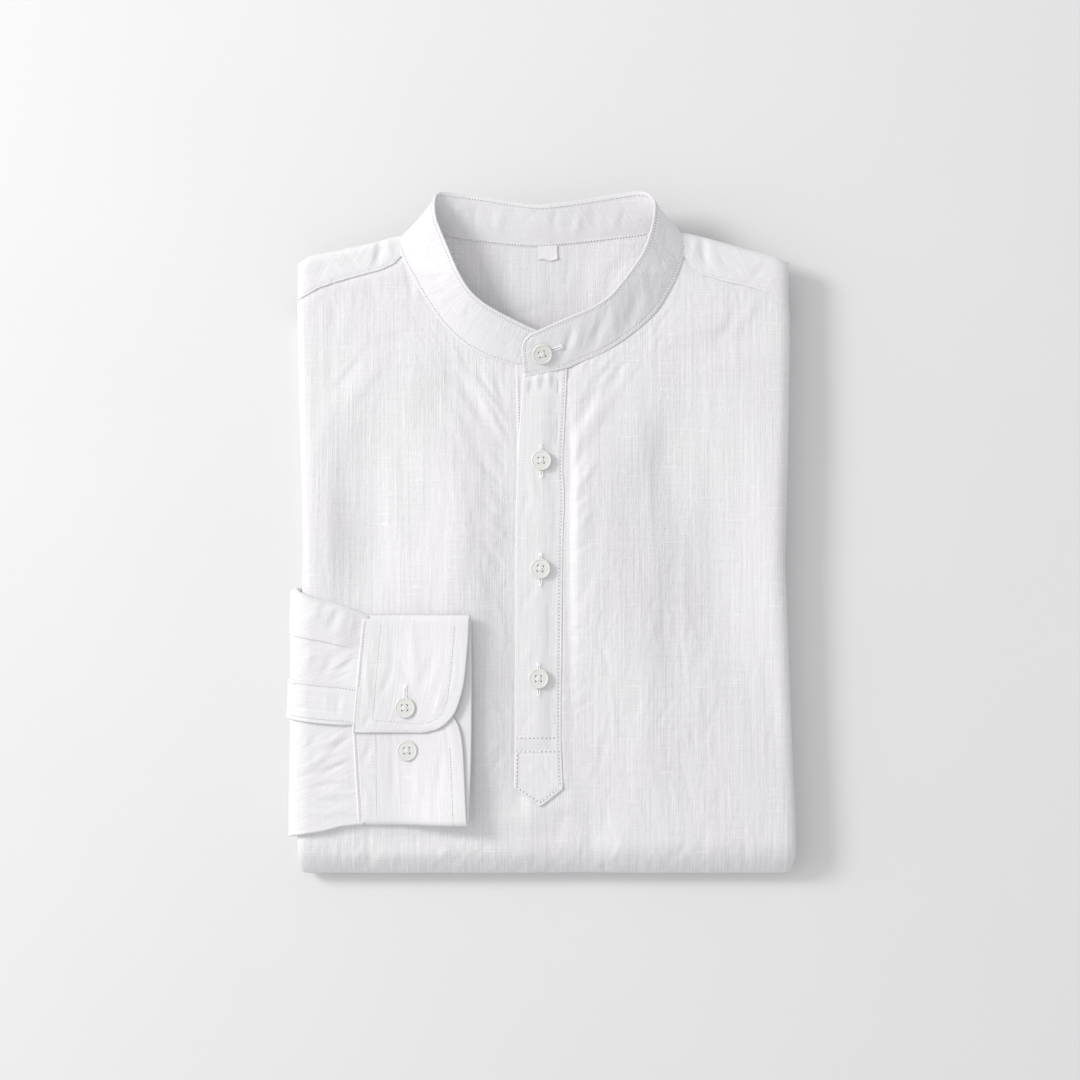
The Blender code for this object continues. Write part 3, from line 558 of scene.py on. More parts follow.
def shell(surface, wall, grain, kept, ring):
    """Points, faces and grain of a closed shell with rounded edges, below the grid that is its outer face.
    In a ring the last column lies on the first."""
    count = surface.shape[0] * surface.shape[1]
    outer = surface.reshape(-1, 3)
    normal = normals_of(surface)
    if ring:
        normal[:, 0] = normal[:, -1] = unit(normal[:, 0] + normal[:, -1])
    normal = normal.reshape(-1, 3)
    grain = grain.reshape(-1, 2)
    outer_faces = cells(*surface.shape[:2], kept)
    border = border_edges(outer_faces)
    if ring:
        columns = surface.shape[1]
        border = [(a, b) for a, b in border if a % columns != b % columns]
    outward = np.zeros((count, 3))
    for a, b in border:
        off = np.cross(outer[b] - outer[a], normal[a])
        outward[a] += off
        outward[b] += off
    rim = sorted({corner for edge in border for corner in edge})
    place = {a: k for k, a in enumerate(rim)}
    outward = unit(outward[rim])
    middle = outer[rim] - normal[rim] * wall / 2
    points = [outer, outer - normal * wall]
    grains = [grain, grain]
    faces = outer_faces + [[count + c for c in reversed(face)] for face in outer_faces]
    loops = [rim]
    for k in range(RIM_RINGS):
        turn = math.pi * (k + 1) / (RIM_RINGS + 1)
        reach = normal[rim] * math.cos(turn) + outward * math.sin(turn)
        points.append(middle + reach * wall / 2)
        grains.append(grain[rim])
        loops.append([2 * count + k * len(rim) + n for n in range(len(rim))])
    loops.append([count + a for a in rim])
    for near, far in zip(loops, loops[1:]):
        faces += [[near[place[b]], near[place[a]], far[place[a]], far[place[b]]] for a, b in border]
    return np.concatenate(points), faces, np.concatenate(grains)


def cloth(name, surface, wall, grain, finish, kept=None, ring=False):
    """A closed shell of cloth with rounded edges."""
    return new_piece(name, *shell(surface, wall, grain, kept, ring), finish)


def joined(parts):
    """Several lots of points, faces and grain as one."""
    points, faces, grains, first = [], [], [], 0
    for part_points, part_faces, part_grain in parts:
        points.append(part_points)
        faces += [[corner + first for corner in face] for face in part_faces]
        grains.append(part_grain)
        first += len(part_points)
    return np.concatenate(points), faces, np.concatenate(grains)


def dress(piece, slot, *nodes):
    """The piece rides on the frame and stands for the frame's own nodes, which it hides. slot is not used."""
    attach(piece, "root")
    if nodes:
        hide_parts(*nodes)
    return piece


# Thread

THREAD_SIDES = 6
THREAD_TURN = 0.3  # how far the grain goes across with each side


def rings(side, up, sides):
    """Unit circles of points in the planes of two directions."""
    turns = np.linspace(0, math.tau, sides, endpoint=False)[:, None]
    return side[..., None, :] * np.cos(turns) + up[..., None, :] * np.sin(turns)


def threads(paths, normals, radii):
    """Points, faces and grain of short lengths of thread: paths has one row of points for each of them."""
    count, stations = paths.shape[:2]
    along = unit(np.gradient(paths, axis=1))
    side = unit(np.cross(along, normals))
    up = unit(np.cross(side, along))
    ring = rings(side, up, THREAD_SIDES)
    points = paths[:, :, None] + ring * np.asarray(radii)[None, :, None, None]
    thread, station, around = np.meshgrid(
        np.arange(count), np.arange(stations - 1), np.arange(THREAD_SIDES), indexing="ij"
    )
    after = (around + 1) % THREAD_SIDES

    def number(s, a):
        return ((thread * stations + s) * THREAD_SIDES + a).ravel()

    near, far = station, station + 1
    corners = [number(near, around), number(far, around), number(far, after), number(near, after)]
    faces = np.stack(corners, axis=-1)
    grain = np.empty((count, stations, THREAD_SIDES, 2))
    grain[..., 0] = np.arange(THREAD_SIDES) * THREAD_TURN
    grain[..., 1] = lengths_across(paths)[:, :, None]
    return points.reshape(-1, 3), faces[:, ::-1].tolist(), grain.reshape(-1, 2)


PIT_MARK = -1000.0  # the grain's place across, for the pits where the stitches go into the cloth, which are painted dark as shade
PIT_RADIUS = 0.74  # share of the thread's width
PIT_SHADE_TONE = 0.3  # painted shade in the pits: share of the thread's colour
PIT_SIDES = 6
PIT_RISE = 0.05  # above the cloth, and this share of the radius more
PIT_RISE_SHARE = 0.2
PIT_START = np.array([0.31, 0.95, 0.0])  # the first corner of a pit's ring is square to this
STITCH_RISE = (-0.22, 0.04, 0.15, 0.17, 0.15, 0.04, -0.22)  # along a stitch, for thread this wide:
STITCH_RISE_WIDTH = 0.3
STITCH_TAPER = (0.6, 0.9, 1.0, 1.0, 1.0, 0.9, 0.6)
STITCH_STRAY = 0.06  # share of the pitch


def pits(places, ups, radius):
    """Small dark discs on the cloth, where the thread goes into it: painted shade of the needle holes."""
    side = unit(np.cross(ups, PIT_START))
    ring = rings(side, np.cross(ups, side), PIT_SIDES)
    points = places[:, None] + ups[:, None] * (PIT_RISE + PIT_RISE_SHARE * radius) + ring * radius
    faces = np.arange(len(points) * PIT_SIDES).reshape(-1, PIT_SIDES).tolist()
    grain = np.full((len(points) * PIT_SIDES, 2), PIT_MARK)
    return points.reshape(-1, 3), faces, grain


def stitches(line, normals, sizes, seed):
    """A row of running stitches along a line of points on the cloth, with the dark pits of painted shade
    between them.
    """
    chance = np.random.default_rng(seed)
    along = lengths_along(line)
    pitch = sizes.stitch_length + sizes.stitch_gap
    count = max(int(along[-1] / pitch), 1)
    starts = (np.arange(count) + 0.5) * along[-1] / count - sizes.stitch_length / 2
    starts = starts + chance.uniform(-STITCH_STRAY, STITCH_STRAY, count) * pitch
    shares = np.linspace(0, 1, len(STITCH_RISE))
    at = starts[:, None] + shares[None] * sizes.stitch_length
    ups = unit(places_at(at, along, normals))
    rise = np.array(STITCH_RISE) * sizes.thread_width / STITCH_RISE_WIDTH
    paths = places_at(at, along, line) + ups * rise[None, :, None]
    radii = np.array(STITCH_TAPER) * sizes.thread_width / 2
    between = starts - sizes.stitch_gap / 2
    holes = pits(
        places_at(between, along, line), unit(places_at(between, along, normals)), sizes.pit_radius
    )
    return joined([threads(paths, ups, radii), holes])


class Lay:
    """Finds places on a finished piece of cloth."""

    def __init__(self, name):
        mesh = bpy.data.objects[name].data
        faces = [face.vertices[:] for face in mesh.polygons]
        self.tree = BVHTree.FromPolygons([corner.co / MM for corner in mesh.vertices], faces)

    def on(self, points):
        """The nearest places to points, and the cloth's normals there."""
        return self.found(self.tree.find_nearest(Vector(point)) for point in points)

    def below(self, points):
        """Places straight below points, and the cloth's normals there."""
        down = Vector((0, 0, -1))
        return self.found(self.tree.ray_cast(Vector(point), down) for point in points)

    def found(self, hits):
        hits = [(place, up) for place, up, _, _ in hits if place is not None]
        return np.array([place for place, _ in hits]), np.array([up for _, up in hits])


# Finishes


class Value:
    """A socket of a finish. Python's operators on it add the Math nodes that they need."""

    def __init__(self, finish, socket):
        self.finish = finish
        self.socket = socket

    def maths(self, operation, *terms):
        return self.finish.node("ShaderNodeMath", {"operation": operation}, terms)

    def __add__(self, other):
        return self.maths("ADD", self, other)

    def __radd__(self, other):
        return self.maths("ADD", other, self)

    def __sub__(self, other):
        return self.maths("SUBTRACT", self, other)

    def __rsub__(self, other):
        return self.maths("SUBTRACT", other, self)

    def __mul__(self, other):
        return self.maths("MULTIPLY", self, other)

    def __rmul__(self, other):
        return self.maths("MULTIPLY", other, self)

    def sine(self):
        return self.maths("SINE", self)

    def between(self, low, high):
        """0 at low, 1 at high, smooth between."""
        sockets = {"Value": self, "From Min": low, "From Max": high}
        settings = {"interpolation_type": "SMOOTHSTEP"}
        return self.finish.node("ShaderNodeMapRange", settings, sockets)


class Finish:
    """A material with one Principled surface, and the one way to add any other node to it."""

    def __init__(self, name, **constants):
        self.material = bpy.data.materials.new(name)
        self.material.use_nodes = True
        self.tree = self.material.node_tree
        self.surface = self.tree.nodes["Principled BSDF"]
        for socket, value in constants.items():
            self.surface.inputs[socket.replace("_", " ")].default_value = value

    def node(self, kind, settings, sockets, output=0):
        """A node's output as a Value. Settings come first, then each socket's number or link."""
        made = self.tree.nodes.new(kind)
        for key, value in settings.items():
            setattr(made, key, value)
        pairs = sockets.items() if isinstance(sockets, dict) else enumerate(sockets)
        for key, value in pairs:
            self.feed(made.inputs[key], value)
        return Value(self, made.outputs[output])

    def feed(self, socket, value):
        if isinstance(value, Value):
            self.tree.links.new(value.socket, socket)
        else:
            socket.default_value = value

    def grain(self):
        """The place in the woven cloth, in millimetres."""
        return self.node("ShaderNodeUVMap", {"uv_map": GRAIN}, {})

    def part(self, vector, axis):
        return self.node("ShaderNodeSeparateXYZ", {}, [vector], output=axis)

    def patches(self, place, across, along, detail, shift=0.0):
        """Noise from 0 to 1 in patches of about that size, in millimetres."""
        scale_and_shift = [place, (1 / across, 1 / along, 0.0), (shift, shift * 0.7, 0.0)]
        scaled = self.node("ShaderNodeVectorMath", {"operation": "MULTIPLY_ADD"}, scale_and_shift)
        sockets = {"Vector": scaled, "Scale": 1.0, "Detail": detail, "Roughness": 0.55}
        return self.node("ShaderNodeTexNoise", {"noise_dimensions": "2D"}, sockets)

    def mixed(self, share, a, b):
        """A colour between two colours."""
        settings = {"data_type": "RGBA", "clamp_factor": True}
        return self.node("ShaderNodeMix", settings, {0: share, 6: a, 7: b}, output=2)

    def times(self, a, b):
        """Two colours multiplied together."""
        settings = {"data_type": "RGBA", "blend_type": "MULTIPLY"}
        return self.node("ShaderNodeMix", settings, {0: 1.0, 6: a, 7: b}, output=2)

    def coloured(self, colour):
        """Sets the surface's own colour."""
        self.feed(self.surface.inputs["Base Color"], colour)

    def bump(self, height):
        """Sets the surface's normal from a height in millimetres."""
        sockets = {"Strength": 1.0, "Distance": MM, "Height": height}
        self.feed(self.surface.inputs["Normal"], self.node("ShaderNodeBump", {}, sockets))


def with_alpha(colour, share):
    return tuple(c * share for c in colour) + (1.0,)


DULL = 0.2  # reflectance level of cloth and paint
WARM_TINT = (1.0, 1.0, 0.996, 1.0)
COOL_TINT = (0.992, 0.984, 1.0, 1.0)


def linen_finish(name, look, tone=1.0, strength=1.0):
    """Plain-woven linen: fine threads, long slubs along the warp and shorter, rarer ones across it. strength
    is how much of its unevenness is left by pressing."""
    constants = {"Sheen_Weight": 0.06, "Sheen_Roughness": 0.5, "Specular_IOR_Level": DULL}
    finish = Finish(name, Roughness=0.88, **constants)
    place = finish.grain()
    pitch = look.thread_pitch / MM
    across, along = ((finish.part(place, axis) * (math.pi / pitch)).sine() for axis in (0, 1))
    weave = across * along
    warp = finish.patches(place, pitch * 1.3, 70.0, 1.0)
    warp_wide = finish.patches(place, pitch * 3.2, 110.0, 1.0, shift=11.0)
    weft = finish.patches(place, 30.0, pitch * 1.3, 1.0, shift=23.0)
    warp_slub = finish.patches(place, pitch * 1.3, 44.0, 0.0, shift=37.0).between(0.68, 0.8)
    weft_slub = finish.patches(place, 20.0, pitch * 1.5, 0.0, shift=53.0).between(0.7, 0.82)
    uneven = warp * 1.15 + warp_wide * 0.5 + weft * 0.5 - 1.08
    slubs = warp_slub * 0.8 + weft_slub * 0.9
    slub = look.slub * strength
    share = uneven * (1.5 * slub) + slubs * (0.8 * slub) + 0.45 + weave * 0.5
    # tone scales the whole colour: below 1 it is painted shade, above 1 painted light.
    dark, light = (with_alpha(look.colour, shade * tone) for shade in (0.93, 1.06))
    cloud = finish.patches(place, 60.0, 90.0, 2.0, shift=91.0)
    tint = finish.mixed(cloud.between(0.35, 0.7), WARM_TINT, COOL_TINT)
    colour = finish.times(finish.mixed(share, dark, light), tint)
    finish.coloured(colour)
    crinkle = finish.patches(place, 2.6, 7.0, 3.0, shift=71.0)
    height = weave * (0.05 * strength) + uneven * (0.1 * slub) + slubs * (0.08 * slub)
    finish.bump(height + crinkle * (0.3 * strength))
    return finish.material


def thread_finish(name, look):
    """Sewing thread, twisted from two plies, and painted dark as shade in the pits between the stitches."""
    finish = Finish(name, Roughness=0.6, Sheen_Weight=0.1)
    place = finish.grain()
    twist = (finish.part(place, 0) * 3.5 + finish.part(place, 1) * 7.0).sine()
    dark, light = (with_alpha(look.colour, shade) for shade in (0.92, 1.03))
    colour = finish.mixed(twist * 0.5 + 0.5, dark, light)
    # Painted shade: the pits take a dark copy of the thread's colour.
    in_shaded_pit = 1.0 - finish.part(place, 0).between(PIT_MARK * 0.9, PIT_MARK * 0.8)
    colour = finish.mixed(in_shaded_pit, colour, with_alpha(look.colour, PIT_SHADE_TONE))
    finish.coloured(colour)
    finish.bump(twist * 0.03)
    return finish.material


def button_finish(name, colour):
    """Pressed off-white button stuff with a soft shine and a faint cloudiness."""
    finish = Finish(name, Roughness=0.5, Coat_Weight=0.05, Coat_Roughness=0.3)
    place = finish.grain()
    cloud = finish.patches(place, 3.5, 2.2, 3.0)
    turned = finish.patches(place, 0.35, 8.0, 1.0, shift=9.0)
    tone = finish.mixed(cloud, with_alpha(colour, 0.94), with_alpha(colour, 1.05))
    finish.coloured(tone)
    finish.feed(finish.surface.inputs["Roughness"], 0.42 + cloud * 0.16)
    finish.bump(turned * 0.02 + cloud * 0.02)
    return finish.material


def floor_finish(name, colour):
    """A pale painted board with a barely uneven face."""
    finish = Finish(name, Roughness=0.7, Specular_IOR_Level=DULL)
    place = finish.node("ShaderNodeTexCoord", {}, {}, output=3)
    cloud = finish.node("ShaderNodeTexNoise", {}, {"Vector": place, "Scale": 9.0, "Detail": 4.0})
    tone = finish.mixed(cloud, with_alpha(colour, 0.985), with_alpha(colour, 1.015))
    finish.coloured(tone)
    fine = finish.node("ShaderNodeTexNoise", {}, {"Vector": place, "Scale": 900.0, "Detail": 2.0})
    finish.bump(fine * 0.02)
    return finish.material


# Front

FRONT_STEP = 1.26
TAIL_STEP = 4.0
FOLD_ROWS = 26
TUCKED_COLUMNS = 4
EASING_COLUMNS = 8  # between a side fold's own columns and the straight ones
FLAT_REACH = 120.0  # the columns are straight as far as this from the middle
SIDE_TURNS = np.radians([-90, -55, -25, 0, 15, 30, 45, 60, 75, 90])
SEAM_ROWS = (0.0, 0.8, 1.6, 2.4, 3.1, 3.8, 4.6, 5.5, 6.6)

# Creases placed one by one. Across the fold and on the tail, y goes on below the fold's axis as if the
# cloth were laid out flat.
FRONT_CREASES = table(Crease, [
    # the broad, shallow folds
    (-93, 6, 86, 76, 29, -3.4, 3, 0.2),
    (-92, -16, 84, 40, 30, -2.2, 0),
    (-44, -12, 87, 84, 24, 1.8, 2, 0.2),
    (-64, 96, 56, 44, 22, 1, 3),
    (31, -4, 98, 122, 40, 4.3, -3, 0.15),
    (98, -10, 99, 136, 37, -4.6, -4, 0.1),
    (136, -4, 91, 140, 28, 1.7, -2),
    (98, 106, 16, 38, 13, -0.9, 2),
    (62, -118, 84, 56, 20, 1.2, 3),
    (99, -124, 96, 54, 18, -1, 2),
    (-76, -171, 2, 72, 10.5, -2.2, 1),
    (-12, -171, -6, 30, 11, -1.2, 1),
    (20, -164, 70, 26, 14, 0.8, 2),
    (12, -170, 86, 34, 36, -2.5, 0, -0.25),
    # from the left shoulder down the chest
    (-108, 89, 52, 24, 4.5, -0.55, 2, 0.3),
    (-102, 83, 50, 26, 6, 0.45, 2, -0.2),
    (-86, 108, 20, 18, 6, -0.3),
    (-74.5, 141, 102, 15, 2.6, -0.5, 1, 0.2),
    (-70.5, 140, 100, 15, 3, 0.45, 1),
    (-94, 134, 96, 12, 3.2, -0.3),
    (-117, 122, 84, 20, 5, -0.35),
    (-122, 60, 74, 32, 6.5, 0.4, 2),
    (-112, 18, 92, 40, 9, -0.55, -3),
    (-84, 6, 93, 46, 8, 0.5, 2),
    (-70, -4, 88, 34, 7, -0.35),
    # the V that draws in to the placket
    (-31.5, 76, -54, 30, 4.6, 0.9, -2, 0.2),
    (-38.5, 75, -55, 27, 5.5, -1.01, -2, -0.2),
    (-27, 66, -56, 28, 4.4, -0.87, -2, 0.2),
    (-28, 66, -58, 26, 3.4, 1.01, -1.5),
    (-48, 61, -62, 26, 6, 0.65, -2),
    (-24, 80, -78, 12, 3, -0.45),
    (-30, 34, -60, 22, 5, -0.8, -1.5),
    (-27, 27, -50, 16, 3.2, 0.65, -1, 0.3),
    (-29, 14, -42, 13, 3, -0.45, 1),
    (-26.5, 3, -46, 13, 3, 0.4, -1, 0.3),
    (-28, -12, -56, 17, 3.6, -0.5, 1.5),
    (-30, -28, -64, 20, 4.5, -0.5, 1),
    (-25.5, -40, -72, 16, 3.4, 0.4),
    (-36, -4, 86, 46, 8, -0.7, 2),
    (-25, -128, 42, 11, 2.6, -0.45, 1, 0.2),
    (-28, -120, 48, 12, 3, 0.35),
    (-24, -146, 32, 13, 3, -0.35),
    # right of the placket
    (23, 70, 62, 25, 5, -0.87, 2, -0.2),
    (30, 66, 63, 27, 6.5, 0.8, 2, 0.1),
    (38, 84, 58, 22, 5, -0.65, 1),
    (19.5, 40, 68, 15, 3.2, -0.72, 1),
    (24, 33, 56, 15, 3.4, 0.65, 1),
    (21, 20, 42, 11, 2.8, -0.4, -1),
    (23, 8, 50, 12, 3, 0.35),
    (20.5, -8, 38, 10, 2.6, -0.4, 1),
    (24, -30, 62, 16, 3.8, -0.4, 1),
    (30, 6, 84, 52, 8, -0.5, 3),
    (21, -113.5, 6, 8.5, 1.6, -0.35, 0.5),
    (20, -118, -10, 8, 1.8, 0.3),
    (22, -96, 30, 10, 2.4, -0.3, 1),
    # down the right side
    (68, 44, 92, 44, 9, -0.75, 3),
    (84, 20, 88, 60, 12, 0.7, -3),
    (104, 116, 48, 17, 5, -0.5, 2),
    (112, 122, 52, 15, 4.5, 0.35, 1),
    (72, -58, 94, 58, 9, -0.85, -3),
    (58, -96, 86, 46, 8, 0.55, 2),
    (112, -40, 96, 50, 11, 0.6, 3),
    (128, -96, 94, 46, 6, -0.5, 2),
    (36, -72, 100, 17, 2.6, -0.4, 1.5, 0.2),
    (40, -100, 96, 22, 3, 0.4, 1, 0.2),
    (33, -124, 82, 16, 2.6, -0.35, 1),
    (84, -112, 104, 14, 2.4, -0.35, 1),
    (96, -92, 78, 18, 3, 0.35, 1),
    # by the bottom fold
    (-35, -178, 40, 11, 2.6, -0.4, 1, 0.3),
    (-58, -182, 44, 10, 2.8, 0.4, 1),
    (-46, -180, 52, 9, 2.4, -0.35),
    (-96, -182, 70, 10, 3.4, -0.35),
    (8, -168, 82, 16, 4, -0.4),
    (44, -176, 98, 15, 4, 0.4),
    (90, -174, 84, 16, 4.6, -0.45),
    (118, -180, 100, 13, 4, 0.4),
    # on the tail beneath
    (-92, -300, 82, 60, 9, -0.6, 3),
    (-60, -262, 96, 44, 7, 0.5, -2),
    (-18, -330, 88, 80, 10, -0.6, 4),
    (26, -268, 84, 52, 8, 0.5, 3),
    (58, -352, 98, 70, 9, -0.6, -3),
    (100, -290, 92, 56, 8, 0.5, 2),
    (-104, -420, 64, 34, 6, -0.5, 2),
    (8, -452, 6, 46, 5, -0.35, 3),
    (84, -438, 118, 30, 5, 0.45, 2),
])
FRONT_CRUMPLES = table(Crumple, [
    # small upright creases over the whole panel
    (0, -20, 128, 160, 91, 18, 8, 30, 2, 5, 0.16, 260),
    # gathers along the collar seam and beneath the yoke seams
    (-62, 112, 14, 14, -48, 26, 5, 12, 1.6, 3, 0.24, 22),
    (-34, 90, 14, 6, -64, 22, 5, 14, 1.6, 3, 0.3, 20),
    (36, 94, 16, 6, 58, 22, 5, 14, 1.6, 3, 0.28, 20),
    (64, 116, 10, 12, 44, 24, 5, 12, 1.6, 3, 0.22, 18),
    (-104, 136, 26, 5, 96, 22, 4, 10, 1.5, 2.6, 0.24, 26),
    (106, 130, 26, 5, 84, 22, 4, 10, 1.5, 2.6, 0.22, 26),
    # beside the placket, drawn in by its stitching
    (-21.5, -20, 4.5, 100, -50, 34, 4, 9, 1.4, 2.6, 0.26, 60),
    (18.5, -20, 4.5, 100, 46, 34, 4, 9, 1.4, 2.6, 0.26, 60),
    # lower right, pressed while folded
    (58, -96, 46, 60, 92, 30, 5, 18, 1.4, 2.8, 0.26, 130),
    # along the bottom fold
    (0, -184, 130, 8, 80, 46, 4, 11, 1.8, 4.4, 0.5, 90),
    # the tail
    (0, -350, 120, 130, 90, 40, 10, 34, 3, 6, 0.25, 150),
])


def neck_line(stations, outward):
    """The band's seam along part of the neck in plan, moved outward."""
    seam = through(BAND, np.linspace(*stations, 90))[:, :2]
    along = unit(np.gradient(seam, axis=0))
    return seam + np.stack([along[:, 1], -along[:, 0]], axis=-1) * outward


NECK_OPENING_IN = 1.5  # the front's cut at the placket is this much narrower than the neck's lap
NECK_OPENING_DOWN = 1.2


def front_top_edge():
    """The front's top edge from left to right. It goes on beneath the yoke, the band and the strip."""
    left_seam, right_seam = ([(p.x, p.y + LAP) for p in seam] for seam in (YOKE_SEAM_LEFT, YOKE_SEAM_RIGHT))
    left_neck, right_neck = neck_line(LEFT_NECK, -LAP), neck_line(RIGHT_NECK, -LAP)
    opening_y = BAND[0].seam_y - NECK_OPENING_DOWN
    opening_x = (left_neck[-1][0] + NECK_OPENING_IN, right_neck[0][0] - NECK_OPENING_IN)
    opening = [(x, opening_y) for x in opening_x]
    return np.concatenate([left_seam, left_neck, opening, right_neck, right_seam])


def body_columns():
    """The columns across the front, from the tucked left edge to the tucked right one. Each column's X is
    an offset plus shares of the left and right edge's X, and depth is how far it lies below the chest."""
    tucked = np.linspace(TUCK, 0, TUCKED_COLUMNS + 1)[:-1]
    side = EDGE_REACH + np.concatenate([tucked, -EDGE_REACH * np.cos(SIDE_TURNS)])
    side_depth = EDGE_DROP * (1 - np.sin(SIDE_TURNS))
    side_depth = np.concatenate([np.full(len(tucked), 2 * EDGE_DROP), side_depth])
    share = np.linspace(0, 1, EASING_COLUMNS + 1)[1:-1]
    flat = spread(-FLAT_REACH, FLAT_REACH, FRONT_STEP)
    near = mix(EDGE_REACH, -FLAT_REACH, share)
    offset = np.concatenate([side, near, flat, -near[::-1], -side[::-1]])
    on_left = np.concatenate([0 * side + 1, 1 - share, 0 * flat, 0 * near, 0 * side])
    depth = np.concatenate([side_depth, 0 * near, 0 * flat, 0 * near, side_depth[::-1]])
    return offset, on_left, on_left[::-1], depth


def across_body(y):
    """X of every column at each y, which is one value or a whole row of them."""
    offset, on_left, on_right, _ = body_columns()
    return offset + on_left * smooth(SIDES, y, 1) + on_right * smooth(SIDES, y, 2)


CORNER_SHARE = 0.3  # how much of the side folds' depth the bottom fold loses at its corners
CHEST_TOP_Y = 135.0  # where the columns' X is taken for their ends at the top edge


def front_surface():
    """The front from its top edge down the chest, round the bottom fold and back along the tail, with its
    place in the flat cloth."""
    depth = body_columns()[3]
    top_edge = front_top_edge()
    ends = np.interp(across_body(CHEST_TOP_Y), top_edge[:, 0], top_edge[:, 1])
    length = ends.mean() - FOLD_Y
    step = FRONT_STEP / length
    seam_rows = np.array(SEAM_ROWS) / length
    shares = np.concatenate([seam_rows, spread(seam_rows[-1] + step, 1.0, step)])
    upper_y = mix(ends[None, :], FOLD_Y, shares[:, None])
    upper = np.stack([across_body(upper_y), upper_y, TOP - depth + 0 * upper_y], axis=-1)
    turns = np.linspace(math.pi, 0, FOLD_ROWS)[1:-1, None]
    radius = FOLD_RADIUS - depth
    fold_x = across_body(FOLD_Y - FOLD_RADIUS * np.sin(turns))
    reach = FOLD_RADIUS - CORNER_SHARE * depth
    fold = [fold_x, FOLD_Y - reach * np.sin(turns), FOLD_RADIUS - radius * np.cos(turns)]
    tail_y = spread(FOLD_Y, TAIL_HEM, TAIL_STEP)[:, None]
    tail_x = across_body(tail_y)
    tail = [tail_x, tail_y + 0 * tail_x, depth + 0 * tail_x]
    base = np.concatenate([upper, np.stack(fold, axis=-1), np.stack(tail, axis=-1)])
    fold_flat_y = FOLD_Y - FOLD_RADIUS * (math.pi - turns) + 0 * fold_x
    tail_flat_y = FOLD_Y - FOLD_RADIUS * math.pi - (tail_y - FOLD_Y) + 0 * tail_x
    flat_y = np.concatenate([upper_y, fold_flat_y, tail_flat_y])
    return base, np.stack([flat_across(base), flat_y], axis=-1), depth


def flat_across(base):
    """How far across the flat cloth each point is: X on the chest, and on round the sides by length."""
    along = lengths_across(base[:, :, ::2])
    middle = base.shape[1] // 2
    return along - along[:, middle : middle + 1] + base[:, middle : middle + 1, 0]


YOKE_DIP = 0.5
NECK_DIP = 0.1
UNDER_DIP = 0.4  # beneath the pieces sewn over it
DIP_FADE = (0.6, 3.6)  # from the seam
DIPS_FROM_Y = 80.0


def seam_dip(x, y):
    """The front goes down where the yoke and the band are sewn over it."""
    dip = np.zeros(np.shape(x))
    near = y > DIPS_FROM_Y
    seams = [(YOKE_SEAM_LEFT, YOKE_DIP), (YOKE_SEAM_RIGHT, YOKE_DIP)]
    seams += [(neck_line(neck, 0.0)[::6], NECK_DIP) for neck in (LEFT_NECK, RIGHT_NECK)]
    for line, depth in seams:
        far = distance_to(line, x[near], y[near])
        dip[near] = np.maximum(dip[near], depth * (1 - ramp(*DIP_FADE, far)))
    inside = front_top_edge()
    beyond = y > np.interp(x, inside[:, 0], inside[:, 1]) - LAP * 0.6
    return np.where(beyond, np.maximum(dip, UNDER_DIP), dip)


# Beside the strip. The chest slopes down to its left edge, by Y, and is drawn up along its right edge, where
# the two are stitched together.
Dip = namedtuple("Dip", "y depth")
STRIP_LEFT_DIPS = table(Dip, [
    (-178, 0),
    (-162, 0.3),
    (-148, 2.2),
    (-110, 3.8),
    (-40, 2.8),
    (30, 1.4),
    (66, 0.8),
    (92, 0.2),
])
LEFT_SLOPE = (24.0, 1.0)  # from the strip's left edge: where the slope starts and ends
LEFT_BACK_UP = (-3.0, -9.0)  # beneath the strip
RIGHT_RISE = 0.75
RIGHT_RISE_IN = (-0.8, 0.1)  # from just beyond the strip's right edge
RIGHT_RISE_OUT = (0.8, 7.0)
RIGHT_RISE_OFF = 0.35
RIGHT_RISE_FOOT = (STRIP_FOOT - 4, STRIP_FOOT + 6)
RIGHT_RISE_TOP = (84.0, 92.0)


def beside_strip(x, y):
    """How much the chest is drawn up or down beside the strip."""
    to_edge = smooth(STRIP, y, 1) - x
    dip = smooth(STRIP_LEFT_DIPS, y) * ramp(*LEFT_SLOPE, to_edge) * (1 - ramp(*LEFT_BACK_UP, to_edge))
    from_edge = x - smooth(STRIP, y, 2) - RIGHT_RISE_OFF
    along = ramp(*RIGHT_RISE_FOOT, y) * (1 - ramp(*RIGHT_RISE_TOP, y))
    beside = ramp(*RIGHT_RISE_IN, from_edge) * (1 - ramp(*RIGHT_RISE_OUT, from_edge))
    return RIGHT_RISE * beside * along - dip


def scattered(crumples, seed):
    """The creases of several patches, each with the next seed."""
    return [crease for k, crumple in enumerate(crumples) for crease in crumpled(crumple, seed + k)]


def front_relief(flat, depth, strength):
    """Height of the front's creases above its plain surface, by its place in the flat cloth."""
    x, y = flat[..., 0], flat[..., 1]
    on_chest = y > FOLD_Y - 4
    clear = np.where(on_chest, clear_of_trim(x, y), 1.0)
    level = np.clip(1 - depth / (1.6 * EDGE_DROP), 0, 1)[None, :]
    height = creased(x, y, FRONT_CREASES + scattered(FRONT_CRUMPLES, 3)) * strength * level * clear
    height += beside_strip(x, y) * level
    height += np.where(on_chest, swell(x, y), 0.0) * level
    return height - seam_dip(x, y)


ROLL_START = FOLD_Y + 9.0  # where the chest starts to slope down to the bottom fold
FOLD_NOSE = 9.5  # height of the bottom fold's foremost edge, once it is pressed


